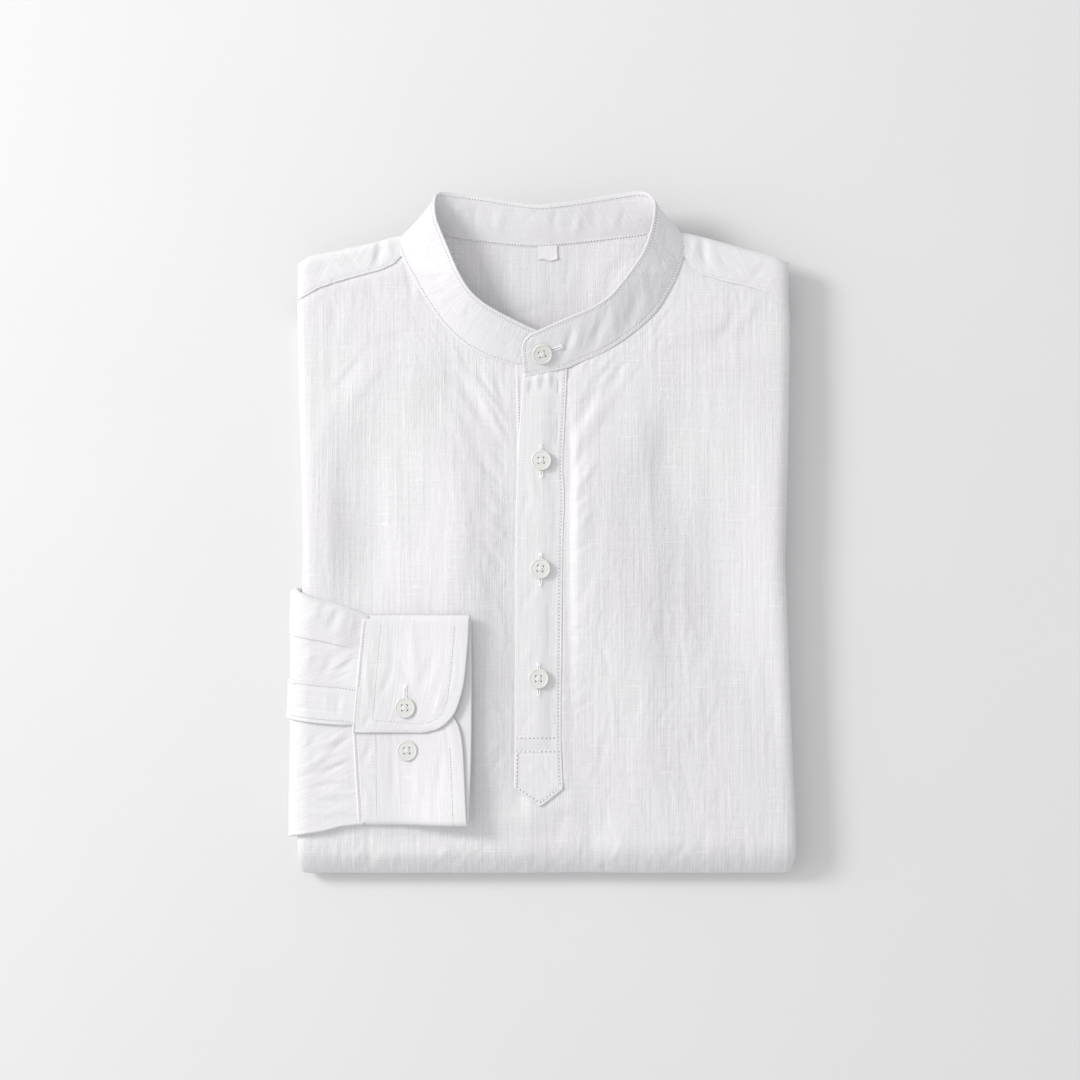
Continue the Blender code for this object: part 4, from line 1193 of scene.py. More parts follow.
def pressed_roll(y, z):
    """Z once the bottom fold is pressed: its upper half slopes down to a low edge."""
    past = np.clip((ROLL_START - y) / (ROLL_START - FOLD_Y + FOLD_RADIUS), 0, 1)
    rounded = np.sqrt(np.maximum(1 - np.clip((FOLD_Y - y) / FOLD_RADIUS, 0, 1) ** 2, 1e-3))
    share = np.minimum((1 - past**2) / rounded, 1.0)
    nose = mix(FOLD_RADIUS, FOLD_NOSE, ramp(0.0, 1.0, past))
    above = nose + (z - FOLD_RADIUS) * share * (TOP - nose) / (TOP - FOLD_RADIUS)
    return np.where(z > FOLD_RADIUS, above, z * nose / FOLD_RADIUS)


HEM_RISE = 0.9  # the hem's turned-up layer lies this far above the tail
HEM_BEND = 0.7  # cloth in each half of the bend between them


def make_front(look, finish):
    """The front and the tail, with its hem turned up."""
    base, flat, depth = front_surface()
    surface = raised(base, front_relief(flat, depth, look.crease_depth))
    surface[..., 2] = np.maximum(pressed_roll(surface[..., 1], surface[..., 2]), 0.0)
    steps = [(HEM_RISE / 2, HEM_RISE / 2), (0.0, HEM_RISE), (-TAIL_TURN_UP, HEM_RISE)]
    hem = [surface[-1:] + np.array([0.0, dy, dz]) for dy, dz in steps]
    hem_flat = [flat[-1:] - np.array([0.0, drop]) for drop in (HEM_BEND, 2 * HEM_BEND, TAIL_TURN_UP)]
    surface, flat = np.concatenate([surface] + hem), np.concatenate([flat] + hem_flat)
    return open_cloth("front_cloth", surface, flat, finish)


# Yoke

YOKE_STEP = 1.25
YOKE_CUT = (300.0, 116.0)  # millimetres across and down, before the neck is cut out
YOKE_OVER = 0.3  # the yoke's seam edge stands this much higher than the front
YOKE_STITCH = 1.7  # from the seam edge to its stitching
YOKE_GRAIN_TURN = 34.0  # degrees: the yoke's threads cross the shoulders at a slant
SHOULDER_ARC = math.pi * math.sqrt((SHOULDER_REACH**2 + EDGE_DROP**2) / 2)
SHOULDER_STEP = 0.9
NECK_CORNER = 75.5
NECK_BEND = (54.0, 62.0)  # from the middle: from here out the yoke bends over the shoulder fold
SEAM_TOP_X = 79.3  # from the middle: where the seam with the front reaches the band
YOKE_SIDE_Y = 140.0
YOKE_EDGE_TURNS = np.radians([84, 72, 58, 44, 30, 15])
YOKE_STARTS = [(112, YOKE_START), (117, 134.5)]  # from the middle: Y of the seam with the back
BAND_LAP = 1.6  # how far the yoke goes on beneath the band at the back

# How far along the shoulder fold's arc the yoke reaches beneath the band, by distance from the middle.
NeckEnd = namedtuple("NeckEnd", "x arc")
NECK_ENDS = table(NeckEnd, [
    (56, 4),
    (64, 3.6),
    (70, 4.9),
    (76, 6.2),
    (80, 7.4),
])

YOKE_CREASES = table(Crease, [
    (-91.5, 158, 84, 11, 3.4, -1.1, 1, 0.2),
    (-86, 160, 96, 10, 2.8, 0.55, 0.5),
    (-96.5, 156, 66, 10, 3, 0.35),
    (-108, 154, -52, 12, 2.6, -0.3, 0.5, 0.2),
    (-114, 150, -55, 12, 2.2, 0.25),
    (-124, 148, 60, 10, 4, -0.3),
    (89.5, 158, 97, 12, 3.4, -1.1, -1, -0.2),
    (84.5, 160, 84, 9, 2.6, 0.5),
    (96, 156, 112, 11, 3.2, 0.4),
    (104, 150, -34, 11, 3, -0.35, 1),
    (120, 146, 50, 12, 3.2, -0.35),
    (128, 142, 58, 10, 2.6, 0.25),
])
# Heights are turned over here, because the leaf's outer face looks down. It rises to the neckline at both
# sides.
LEAF_CREASES = table(Crease, [
    (66, 130, 80, 46, 48, -3.8, 0, 0.2),
    (-74, 136, 98, 50, 36, -5, 0),
    (-22, 146, 84, 22, 6, 0.45, 1.5),
    (-2, 140, 92, 20, 4, -0.35, 1),
    (14, 148, 76, 16, 4, 0.35, 1),
    (30, 140, 86, 22, 7, -0.45, -1.5),
    (42, 150, 60, 16, 5, 0.4, 1),
    (-42, 148, 118, 20, 6, -0.4, 1),
    (-8, 126, 20, 18, 4, 0.3, 1),
])
YOKE_CRUMPLE = Crumple(0, 150, 134, 14, 90, 70, 4, 9, 1.6, 3, 0.1, 70)


def yoke_columns():
    """X of the yoke's strips, whether each one is part of a shoulder, and half its thickness there. The
    strips at the neck's corners come twice, because the threads change direction there."""
    xs, shoulder, halves = [], [], []
    for side in (-1, 1):
        edge = side * smooth(SIDES, YOKE_SIDE_Y, 1 if side < 0 else 2)
        outer = edge - EDGE_REACH * (1 - np.sin(YOKE_EDGE_TURNS))
        flat = spread(edge - EDGE_REACH, NECK_CORNER, YOKE_STEP)
        reach = np.concatenate([outer, flat])
        half = np.concatenate([EDGE_DROP * np.cos(YOKE_EDGE_TURNS), np.full(len(flat), EDGE_DROP)])
        order = slice(None) if side < 0 else slice(None, None, -1)
        xs.append(side * reach[order])
        shoulder.append(np.full(len(reach), True))
        halves.append(half[order])
    middle = spread(-NECK_CORNER, NECK_CORNER, YOKE_STEP)
    return (
        np.concatenate([xs[0], middle, xs[1]]),
        np.concatenate([shoulder[0], np.full(len(middle), False), shoulder[1]]),
        np.concatenate([halves[0], np.full(len(middle), EDGE_DROP), halves[1]]),
    )


def yoke_seam_y(x):
    """Y of the seam with the front. It goes on beneath the band at a slant."""
    seam = np.where(x < 0, straight(YOKE_SEAM_LEFT, x), straight(YOKE_SEAM_RIGHT, x))
    return seam + np.maximum(SEAM_TOP_X - np.abs(x), 0)


def yoke_surface():
    """The yoke from its seam with the back, out to the shoulder fold and over it to its seam with the front.
    Returns its points, its place in the flat cloth and which points are there."""
    x, shoulder, half = yoke_columns()
    fold_y = straight(SHOULDER_LINE, x) - SHOULDER_REACH
    start = straight(YOKE_STARTS, np.abs(x)) - fold_y
    band_seam = through(BAND, np.linspace(*BACK_NECK, 60))[::-1]
    at_back = np.interp(x, band_seam[:, 0], band_seam[:, 1]) + BAND_LAP - fold_y
    bends = ramp(*NECK_BEND, np.abs(x))
    neck_end = mix(at_back, straight(NECK_ENDS, np.abs(x)), bends)
    seam_end = SHOULDER_ARC + fold_y - yoke_seam_y(x)
    end = np.where(shoulder, seam_end, neck_end)
    lowest, highest = start.min(), seam_end[shoulder].max()
    inside, over = spread(lowest, 0.0, YOKE_STEP), spread(0.0, SHOULDER_ARC, SHOULDER_STEP)
    down = spread(SHOULDER_ARC, highest + YOKE_STEP, SHOULDER_STEP)
    rows = np.concatenate([inside[:-1], over[:-1], down])
    along = np.clip(rows[:, None], start[None, :], end[None, :])
    step = np.gradient(rows)[:, None]
    kept = (rows[:, None] > start - step) & (rows[:, None] < end + step)
    turn = np.pi * np.clip(along / SHOULDER_ARC, 0, 1)
    bent_y = np.where(along < 0, along, SHOULDER_REACH * np.sin(turn))
    bent_y = np.where(along > SHOULDER_ARC, SHOULDER_ARC - along, bent_y)
    low = SHOULDER_MID - half
    bent_z = SHOULDER_MID - half * np.cos(turn)
    y = fold_y + np.where(shoulder, bent_y, mix(along, bent_y, bends))
    z = np.where(shoulder, bent_z, mix(low + 0 * along, bent_z, bends))
    surface = np.stack([x + 0 * y, y, z], axis=-1)
    turned = np.radians(YOKE_GRAIN_TURN) * np.sign(x) * shoulder
    across_cloth = x * np.cos(turned) - along * np.sin(turned)
    along_cloth = x * np.sin(turned) + along * np.cos(turned)
    return surface, np.stack([across_cloth, along_cloth], axis=-1), kept, along - end


def yoke_relief(surface, from_seam, strength):
    """Height of the yoke's creases, of its seam edge and of the groove of its stitching."""
    x, y, z = surface[..., 0], surface[..., 1], surface[..., 2]
    over = ramp(SHOULDER_MID - 2, TOP - 0.5, z)
    height = creased(x, y, YOKE_CREASES) * strength * over
    height += creased(x, y, LEAF_CREASES) * strength * (1 - over)
    height += creased(x, y, crumpled(YOKE_CRUMPLE, 41)) * over
    beyond_neck = np.abs(x) > NECK_CORNER
    lift = YOKE_OVER * (1 - ramp(2.0, 12.0, -from_seam))
    stitched = groove(from_seam + YOKE_STITCH, 0.9, 0.22)
    return height + np.where(beyond_neck, lift + stitched, 0.0) * over


def make_yoke(look, finish, painted_shade_finish):
    """The yoke, whose leaf inside the neck has a darker finish of its own: painted shade."""
    surface, flat, kept, from_seam = yoke_surface()
    surface = raised(surface, yoke_relief(surface, from_seam, look.crease_depth))
    piece = cloth("yoke_cloth", surface, YOKE_WALL, flat, finish, kept)
    piece.data.materials.append(painted_shade_finish)
    # Faces low inside the neck take the darker finish: painted shade.
    for face in piece.data.polygons:
        face.material_index = int(face.center.z / MM < SHOULDER_MID - 1)
    return piece


# Collar band

BAND_STEP = 1.15
BAND_STITCH = 1.5  # from the band's edges to its stitching
BAND_PAINTED_LIGHT_FROM = 146.0  # painted light: the band's inner face at its back is coloured lighter from this Y on
BAND_RIGHT_FROM = 124.0  # and from this Y on its right side is coloured lighter too
BAND_CREASES = table(Crease, [
    # place along the band's seam, then up the band, both in millimetres
    (28, 12, 58, 12, 3.8, -0.75, 1, 0.3),
    (34, 14, 66, 11, 4.4, 0.65, 0.5),
    (46, 11, 48, 13, 5, -0.8, 1),
    (58, 13, 62, 12, 5, 0.65),
    (72, 10, 30, 18, 6, -0.65, 1),
    (86, 14, 54, 14, 6, 0.6, 1),
    (92, 15, 20, 18, 3.6, -0.35, 1),
    (104, 8, 12, 22, 3.2, 0.3),
    (122, 17, 14, 20, 3, -0.3),
    (172, 12, 96, 9, 4, -0.35),
    (184, 14, 74, 10, 3.6, 0.45, 1),
    (193, 12, 102, 10, 3.6, -0.5),
    (206, 16, 84, 8, 3.4, 0.4),
    (238, 14, 92, 11, 5, -0.5, 1),
    (252, 13, 80, 11, 4, 0.5, 1),
    (262, 16, 104, 8, 3, -0.35),
    (300, 12, 88, 10, 4.4, -0.45, 1),
    (312, 14, 98, 10, 3.8, 0.45),
    (330, 14, 76, 9, 4, -0.4),
    (396, 14, -16, 20, 3.6, 0.35),
    (420, 11, -12, 20, 3.4, -0.35, 1),
    (452, 13, -30, 16, 3.8, -0.4, 1),
    (476, 11, -54, 12, 4, -1.1, 1, 0.3),
    (484, 13, -50, 13, 4, 1, 1),
    (492, 10, -60, 12, 4, -1.2, 0.5, 0.2),
    (500, 14, -48, 11, 4, 0.9),
])
BAND_CRUMPLE = Crumple(265, 12, 265, 10, 60, 80, 4, 10, 1.6, 3.4, 0.2, 170)
BAND_END_STEPS = np.array([0.0, 0.15, 0.4, 0.8, 1.3, 1.9])
BAND_END = 2.6
BACK_STITCHES = 0.4  # how much of its groove the stitching keeps at the back of the neck
SEAM_BEAD = 0.3  # the seam's rounded edge
SEAM_BEAD_WIDTH = 1.3
BAND_SLANT = (0.9, 0.15)  # the threads lean this much at its first end and at its last


def band_lines(at):
    """The band's seam and top edge at places along it, in stations."""
    line = through(BAND, at)
    return line[..., :3], line[..., 3:]


def band_height_share(at):
    """The end that buttons over has a rounded top corner."""
    first, _ = band_lines(np.array([0.0]))
    seam, edge = band_lines(at)
    distance = np.minimum(np.linalg.norm(seam - first, axis=-1), BAND_CORNER)
    distance = np.where(at > len(BAND) / 2, BAND_CORNER, distance)
    drop = BAND_CORNER - np.sqrt(BAND_CORNER**2 - (BAND_CORNER - distance) ** 2)
    return 1 - drop / np.linalg.norm(edge - seam, axis=-1)


def band_fine():
    """Close places along the band, in stations, with its seam and its top edge there."""
    fine = np.linspace(0, len(BAND) - 1, 3000)
    return fine, *band_lines(fine)


def band_stations():
    """Places along the band about a step apart, and closer at its two ends."""
    fine, seam, edge = band_fine()
    along = lengths_along((seam + edge) / 2)
    between = spread(BAND_END, along[-1] - BAND_END, BAND_STEP)
    at = np.concatenate([BAND_END_STEPS, between, along[-1] - BAND_END_STEPS[::-1]])
    return np.interp(at, along, fine)


def band_surface():
    """The band's outer face: a row for each place along it, from its seam up to its edge. Also gives the
    length along the seam and the height up the band of every point, and how tall the band is there."""
    at = band_stations()
    seam, edge = band_lines(at)
    tall = np.linalg.norm(edge - seam, axis=-1)
    top = band_height_share(at)
    up = sewn_spread(0.0, np.median(tall), 1.25) / np.median(tall)
    share = up[None, :] * top[:, None]
    surface = seam[:, None] + (edge - seam)[:, None] * share[..., None]
    along = np.broadcast_to(lengths_along(seam)[:, None], share.shape)
    return surface, along, share * tall[:, None], (top * tall)[:, None]


def band_relief(along, up, tall, strength):
    """Height of the band's creases, of the grooves of its stitching and of its seam's bead."""
    height = creased(along, up, BAND_CREASES) + creased(along, up, crumpled(BAND_CRUMPLE, 61))
    height = height * strength * (ramp(0.6, 4.0, up) * ramp(0.6, 4.0, tall - up))
    edge_far = np.minimum(tall - up, along)
    at_back = ramp(120.0, 180.0, along) * (1 - ramp(350.0, 410.0, along))
    rows = groove(edge_far - BAND_STITCH, 0.9, 0.25) + groove(up - BAND_STITCH, 0.9, 0.25)
    bead = SEAM_BEAD * near_line(up, SEAM_BEAD_WIDTH)
    return height + rows * (1 - (1 - BACK_STITCHES) * at_back) + bead


def make_band(look, finish, painted_light_finish):
    """The collar band. Its inner face at the back and its right side, which lie in shade, have a lighter
    finish of their own: painted light.
    """
    surface, along, up, tall = band_surface()
    surface = raised(surface, band_relief(along, up, tall, look.crease_depth))
    slant = mix(*BAND_SLANT, along / along.max())
    flat = np.stack([along - slant * up, up], axis=-1)
    piece = cloth("collar_band_cloth", surface, BAND_WALL, flat, finish)
    piece.data.materials.append(painted_light_finish)
    # Faces at the back and on the right side take the lighter finish: painted light.
    for face in piece.data.polygons:
        at_back = face.center.y / MM > BAND_PAINTED_LIGHT_FROM and face.normal.y < -0.2
        on_right = face.center.y / MM > BAND_RIGHT_FROM and face.normal.x > 0.5
        face.material_index = int(at_back or on_right)
    return piece


# Placket

STRIP_STITCH = 1.15
STRIP_ROWS_ACROSS = (-113.9, -121.6)  # rows of stitching across the strip above its tab
STRIP_CREASES = table(Crease, [
    (-6.4, 84, 84, 8, 1.9, -0.45, 0.3, 0.2),
    (-3.2, 85.5, 92, 7, 1.6, 0.4),
    (0.4, 86, 86, 8, 1.8, -0.5, 0.5, 0.2),
    (3.4, 86.5, 96, 6.5, 1.6, 0.45),
    (6.6, 86, 98, 8, 1.8, -0.35),
    (0, 82.5, 4, 15, 5.5, -0.8, 1),
    (6, 54, 74, 14, 3, -0.25, 1),
    (-6, 28, 102, 12, 3.2, 0.25),
    (-10, 16, 70, 12, 3, -0.3, 1),
    (4, 6, 92, 24, 3.4, 0.25),
    (-9, -36, 60, 12, 3.4, -0.3, 1),
    (3.5, -48, 94, 20, 3, -0.25, 1),
    (-8, -66, 68, 12, 3.2, 0.3),
    (5, -98, 100, 12, 3.2, -0.25),
    (-9, -104, 58, 10, 3, -0.25),
    (-6, -132, 50, 9, 3, 0.25),
    (3, -134, 118, 9, 2.8, -0.25),
])
STRIP_CRUMPLE = Crumple(-2, -28, 12, 116, 90, 50, 4, 14, 2, 4, 0.09, 60)
STAND_CRUMPLE = Crumple(-14, 0, 2, 100, 90, 20, 5, 12, 1.2, 2.4, 0.12, 40)
STRIP_LAP = 1.6  # beneath the collar band
STRIP_PINCH = 0.9  # how much lower it lies there
STAND_RIGHT = 8.0
STAND_SHARES = np.array([0.0, 0.02, 0.05, 0.08, 0.12, 0.18, 0.3, 0.5, 0.75, 1.0])
STAND_ROLL = 0.18


def strip_lift(x, y):
    """The strip lies over the button stand, and down on the front below it and at its own right edge."""
    over_stand = (STAND_WALL + 2 * GAP) * (1 - ramp(-13.0, -2.5, x - smooth(STRIP, y, 2)))
    return mix(GAP, np.maximum(over_stand, GAP * 0.5), ramp(STAND_FOOT - 12, STAND_FOOT - 1, y))


def strip_top(x):
    """The strip goes on a little way beneath the collar band."""
    return straight([(row.seam_x, row.seam_y) for row in (BAND[0], BAND[2])], x) + STRIP_LAP


def strip_foot(x):
    """The lower edge of the pointed tab."""
    from_point = np.abs(x - STRIP_POINT_X) / (STRIP_POINT_X - STRIP[0].left)
    return STRIP_FOOT - STRIP_POINT * np.clip(1 - from_point, 0, 1)


def strip_outline():
    """The strip's edge in plan, from its top left corner round the tab to its top right corner."""
    ys = np.linspace(strip_top(STRIP[-1].left), STRIP_FOOT, 40)
    left, right = (np.stack([smooth(STRIP, ys, k), ys], axis=-1) for k in (1, 2))
    return np.concatenate([left, [(STRIP_POINT_X, STRIP_FOOT - STRIP_POINT)], right[::-1]])


def strip_surface():
    """The strip's upper face: rows from its top to its foot, columns from left to right."""
    width, tall = STRIP[0].right - STRIP[0].left, strip_top(0.0) - STRIP_FOOT
    shares, heights = np.meshgrid(*(sewn_spread(0.0, size, 1.0) / size for size in (width, tall)))
    foot = strip_foot(mix(STRIP[0].left, STRIP[0].right, shares))
    top = strip_top(mix(STRIP[-1].left, STRIP[-1].right, shares))
    y = mix(top, foot, heights)
    return mix(smooth(STRIP, y, 1), smooth(STRIP, y, 2), shares), y


def strip_relief(x, y, strength):
    """Height of the strip's creases, of the grooves of its stitching and of its buttonholes."""
    far = distance_to(strip_outline(), x, y)
    height = creased(x, y, STRIP_CREASES) + creased(x, y, crumpled(STRIP_CRUMPLE, 83))
    height = height * strength * ramp(1.6, 4.0, far)
    on_right = np.maximum(ramp(-4.0, 0.0, x), 1 - ramp(STRIP_FOOT, STRIP_FOOT + 2, y))
    height += groove(far - STRIP_STITCH, 0.8, 0.3) * on_right
    for row in STRIP_ROWS_ACROSS:
        height += groove(y - row, 0.9, 0.3)
    for hole in strip_holes():
        height += hole_relief(x, y, hole)
    return height


def make_strip(look, finish):
    x, y = strip_surface()
    base = TOP + swell(x, y) + strip_lift(x, y) + STRIP_WALL
    under_band = 1 - ramp(0.0, 5.0, strip_top(x) - y)
    surface = np.stack([x, y, base - STRIP_PINCH * under_band], axis=-1)
    surface = raised(surface, strip_relief(x, y, look.crease_depth))
    flat = cut_at("strip", x, y)
    return cloth("placket_strip_cloth", surface, STRIP_WALL, flat, finish)


def stand_surface():
    """The button stand: it shows only as a narrow edge left of the strip, near the collar."""
    ys = spread(STAND_TOP, STAND_FOOT, 1.4)[:, None]
    x = mix(smooth(STRIP, ys, 3), STAND_RIGHT, STAND_SHARES[None, :])
    return x, ys + 0 * x


def make_stand(look, finish):
    x, y = stand_surface()
    rolled = STAND_ROLL * near_line(x - x[:, :1] - 0.6, 0.7)
    wave = creased(x, y, crumpled(STAND_CRUMPLE, 97)) * look.crease_depth
    surface = np.stack([x, y, TOP + GAP + STAND_WALL + rolled + wave], axis=-1)
    flat = cut_at("stand", x, y)
    return cloth("button_stand_cloth", surface, STAND_WALL, flat, finish)


# Sleeve

SLEEVE_STEP = 1.15
SLEEVE_UNDER = 40  # columns on its underside
SLEEVE_ROUND = 0.9 * SLEEVE_HALF  # the rounding beyond the face's edges
SLEEVE_WIDTHS = ((1, 26.0), (2, 24.0), (3, 21.0), (4, 62.0))  # about how wide it is from each column on
SLEEVE_CROWD = np.array([0.02, 0.3, 0.7, 1.1])
SLEEVE_CROWD_END = 1.6
TURN_START = 0.2  # shares of the way along the sleeve: it turns round the body's side from here
TURN_END = 0.7
ON_CUFF = (0.84, 0.99)  # shares where its face comes down to the cuff's level
PLEAT_RISE = 1.1
GAUNTLET_RISE = 0.9
SLEEVE_ON_CUFF = 0.3  # its face above the cuff's middle, at their seam
CUFF_LEAVES_Y = (-107.5, -105.5)  # the cuff's lower flap ends here, and the upper one begins
SLEEVE_CREASES = table(Crease, [
    # X on the chest side of the edge, then Y
    (-116, -48, 62, 10, 4, -0.84, 1, 0.2),
    (-127, -42, 70, 12, 4.5, 0.49, 1),
    (-106.5, -51, 78, 9, 2.4, 0.7, 0.5),
    (-110, -74, 28, 10, 2.6, -0.84, 1, 0.3),
    (-111, -70, 42, 10, 3, 0.63, 1),
    (-120, -73, 58, 9, 3.6, -0.56, 1),
    (-131, -70, 66, 8, 3.6, 0.42),
    (-112, -79, 14, 8, 1.8, -0.49),
    (-113, -118, 34, 13, 2.8, -0.84, 1, 0.3),
    (-116, -114, 28, 13, 3, 0.63, 1),
    (-123, -124, 36, 13, 2.8, 0.56, 1),
    (-112, -126, 22, 10, 2.4, 0.7, 0.5),
    (-117, -131, 26, 13, 2.6, -0.77, 1, 0.2),
    (-111, -137, 12, 10, 2.2, 0.63, 0.5),
    (-121, -140, 14, 14, 2.4, -0.63, 1),
    (-113, -145, -4, 12, 2.4, 0.63, 0.5),
    (-118, -150, -8, 14, 2.6, -0.7, 1, 0.2),
    (-112, -155, -16, 10, 2.2, 0.63, 0.5),
    (-124, -156, -4, 13, 2.8, 0.49, 1),
    (-131, -134, 20, 11, 3, -0.49, 1),
    (-130, -117, 48, 10, 3, -0.42),
])


def cuff_seam(y):
    """X of the seam between sleeve and cuff."""
    return straight(CUFF_SEAM, y)


def sleeve_point(y, share, lift):
    """Points of the sleeve's middle surface moved out by lift, from its hidden end, round the body's left
    edge, to the cuff seam. share counts 0 at the hidden end and 1 at the seam."""
    edge = smooth(SIDES, y, 1)
    off = GAP + SLEEVE_HALF + lift
    centre_x = edge + EDGE_REACH
    turn = np.pi * np.clip((share - TURN_START) / (TURN_END - TURN_START), 0, 1)
    side = off + SLEEVE_SIDE_GAP * np.sin(turn)
    round_x = centre_x - (EDGE_REACH + side) * np.sin(turn)
    round_z = SHOULDER_MID - (EDGE_DROP + off) * np.cos(turn)
    hidden = mix(edge + SLEEVE_HIDDEN_REACH, centre_x, np.clip(share / TURN_START, 0, 1))
    past_turn = np.clip((share - TURN_END) / (1 - TURN_END), 0, 1)
    shown = mix(centre_x, cuff_seam(y) + LAP, past_turn)
    x = np.where(share < TURN_START, hidden, np.where(share > TURN_END, shown, round_x))
    return np.stack([x, y + 0 * x, round_z + 0 * x], axis=-1)


def sleeve_across():
    """Places across the sleeve, from its top edge to its bottom edge, as a column number of SLEEVE and a
    share of the way to the next column. They crowd together at the edges that are laid over."""
    places = []
    for column, width in SLEEVE_WIDTHS:
        inner = spread(0.0, 1.0, SLEEVE_STEP / width)[1:-1]
        crowd, end = SLEEVE_CROWD / width, SLEEVE_CROWD_END / width
        shares = np.concatenate([[0.0], crowd, inner[inner > end]])
        shares = np.concatenate([shares[shares < 1 - end], 1 - crowd[::-1]])
        places += [column + s for s in shares]
    return np.array(places + [5.0])


def sleeve_line(reach, place):
    """Y of a place across the sleeve, at a distance in from the body's side edge."""
    columns = [smooth(SLEEVE, reach, k) for k in range(1, 6)]
    columns[0] = columns[0] - SLEEVE_ROUND
    columns[4] = columns[4] + SLEEVE_ROUND
    pairs = enumerate(zip(columns, columns[1:]), 1)
    return columns[0] + sum((far - near) * np.clip(place - k, 0, 1) for k, (near, far) in pairs)


def sleeve_shares():
    """Places along the sleeve, from its hidden end to its seam with the cuff."""
    hidden = spread(0.0, TURN_START, 0.02)[:-1]
    turned = spread(TURN_START, TURN_END, 0.5 / 30)[:-1]
    return np.concatenate([hidden, turned, spread(TURN_END, 1.0, 0.3 / 26)])


def sleeve_reach(shares):
    """How far in from the body's side edge a place along the sleeve is, once it has turned round it."""
    return mix(SLEEVE[0].reach, SLEEVE[-1].reach, np.clip((shares - 0.48) / 0.52, 0, 1))


def sleeve_step(place, share):
    """How far the layers laid over it lift the sleeve's upper face: the pleat, and the slit's upper side."""
    pleat = 1 - ramp(1.985, 2.02, place)
    slit = ramp(3.985, 4.02, place)
    settle = ramp(0.3, 0.55, share)
    return (PLEAT_RISE * pleat - GAUNTLET_RISE * slit) * settle


def level_with_cuff(y, share, height):
    """Brings the sleeve's face down to the cuff's level where the two are sewn together."""
    upper = smooth(sorted((row.y, row.z) for row in CUFF[: UPPER_END + 1]), y)
    cuff_z = mix(CUFF[-1].z, upper, ramp(*CUFF_LEAVES_Y, y))
    below = cuff_z + SLEEVE_ON_CUFF - (TOP + GAP + 2 * SLEEVE_HALF)
    return mix(height, below, ramp(*ON_CUFF, share))


SLEEVE_CRUMPLES = table(Crumple, [
    (-122, -138, 18, 26, 15, 60, 6, 13, 3.4, 6, 0.1, 22),
    (-122, -70, 18, 12, 50, 60, 6, 12, 3.4, 6, 0.09, 12),
    (-124, -45, 18, 10, 70, 50, 6, 12, 3, 5.5, 0.08, 9),
])


def sleeve_surface(strength):
    """The flattened sleeve as a ring of points at each place along it, with its place in the flat cloth. The
    ring starts and ends in the middle of its underside."""
    shares = sleeve_shares()[:, None]
    place = sleeve_across()[None, :]
    y = sleeve_line(sleeve_reach(shares), place)
    top, bottom = y[:, :1], y[:, -1:]
    half = SLEEVE_HALF
    creases = SLEEVE_CREASES + scattered(SLEEVE_CRUMPLES, 101)
    height = creased(sleeve_point(y, shares, half)[..., 0], y, creases)
    height = height * strength * ramp(0.45, 0.6, shares)
    height = level_with_cuff(y, shares, height + sleeve_step(place, shares))
    face = sleeve_point(y, shares, half + height)
    turns = np.linspace(0, math.pi, 9)[1:-1]
    round_bottom = sleeve_point(bottom - SLEEVE_ROUND * np.sin(turns), shares, half * np.cos(turns))
    under = sleeve_point(mix(bottom, top, np.linspace(0, 1, SLEEVE_UNDER + 1)), shares, -half)
    round_top = sleeve_point(top + SLEEVE_ROUND * np.sin(turns), shares, -half * np.cos(turns))
    ring = np.concatenate([face, round_bottom, under, round_top], axis=1)
    ring = np.roll(ring, -(face.shape[1] + len(turns) + SLEEVE_UNDER // 2), axis=1)
    ring = np.concatenate([ring, ring[:, :1]], axis=1)[:, ::-1]
    around = lengths_across(ring)
    along = lengths_along(ring[:, ring.shape[1] // 2])[:, None] + 0 * around
    return ring, cut_at("sleeve", around, along)


def make_sleeve(look, finish):
    surface, flat = sleeve_surface(look.crease_depth)
    return cloth("sleeve_cloth", surface, SLEEVE_WALL, flat, finish, ring=True)


GAUNTLET_WIDTH = 20.6
GAUNTLET_STITCH = 1.5  # from its edges to its stitching
GAUNTLET_FOOT = 0.6  # it stops this far short of the sleeve's own line
GAUNTLET_CREASES = table(Crease, [
    (-111, -96, 82, 9, 2, 0.4, 0.5),
    (-114.5, -94, 88, 9, 2.2, -0.45, 0.5),
    (-121, -93, 84, 9, 2.6, 0.25),
    (-130, -92, 90, 8, 3.4, -0.25),
    (-136, -94, 4, 9, 2.4, 0.2),
])


def gauntlet_surface():
    """The sleeve's own placket, laid on the sleeve between two of its lines."""
    shares = np.concatenate([spread(0.41, 0.7, 0.014)[:-1], spread(0.7, 1.0, 0.3 / 30)])[:, None]
    top, foot = (smooth(SLEEVE, sleeve_reach(shares), k) for k in (3, 4))
    across = sewn_spread(0.0, GAUNTLET_WIDTH, 1.0)[None, :] / GAUNTLET_WIDTH
    return shares, mix(top, foot - GAUNTLET_FOOT, across), across


def make_gauntlet(look, finish):
    """The sleeve's placket, whose lower edge stands up a little."""
    shares, y, across = gauntlet_surface()
    far = across * GAUNTLET_WIDTH
    height = groove(far - GAUNTLET_STITCH, 0.9, 0.22)
    height = height + groove(GAUNTLET_WIDTH - far - GAUNTLET_STITCH, 0.9, 0.12)
    x = sleeve_point(y, shares, SLEEVE_HALF)[..., 0]
    height = height + creased(x, y + 0 * x, GAUNTLET_CREASES) * look.crease_depth
    lift = GAP * 0.5 + GAUNTLET_WALL + 0.5 * ramp(0.62, 1.0, across)
    height = level_with_cuff(y, shares, lift + height) + SLEEVE_ON_CUFF * ramp(*ON_CUFF, shares)
    surface = sleeve_point(y, shares, SLEEVE_HALF + height)
    along = lengths_along(surface[:, 0])[:, None] + 0 * y
    flat = cut_at("gauntlet", far + 0 * y, along)
    return cloth("sleeve_placket_cloth", surface[:, ::-1], GAUNTLET_WALL, flat[:, ::-1], finish)


# Cuff

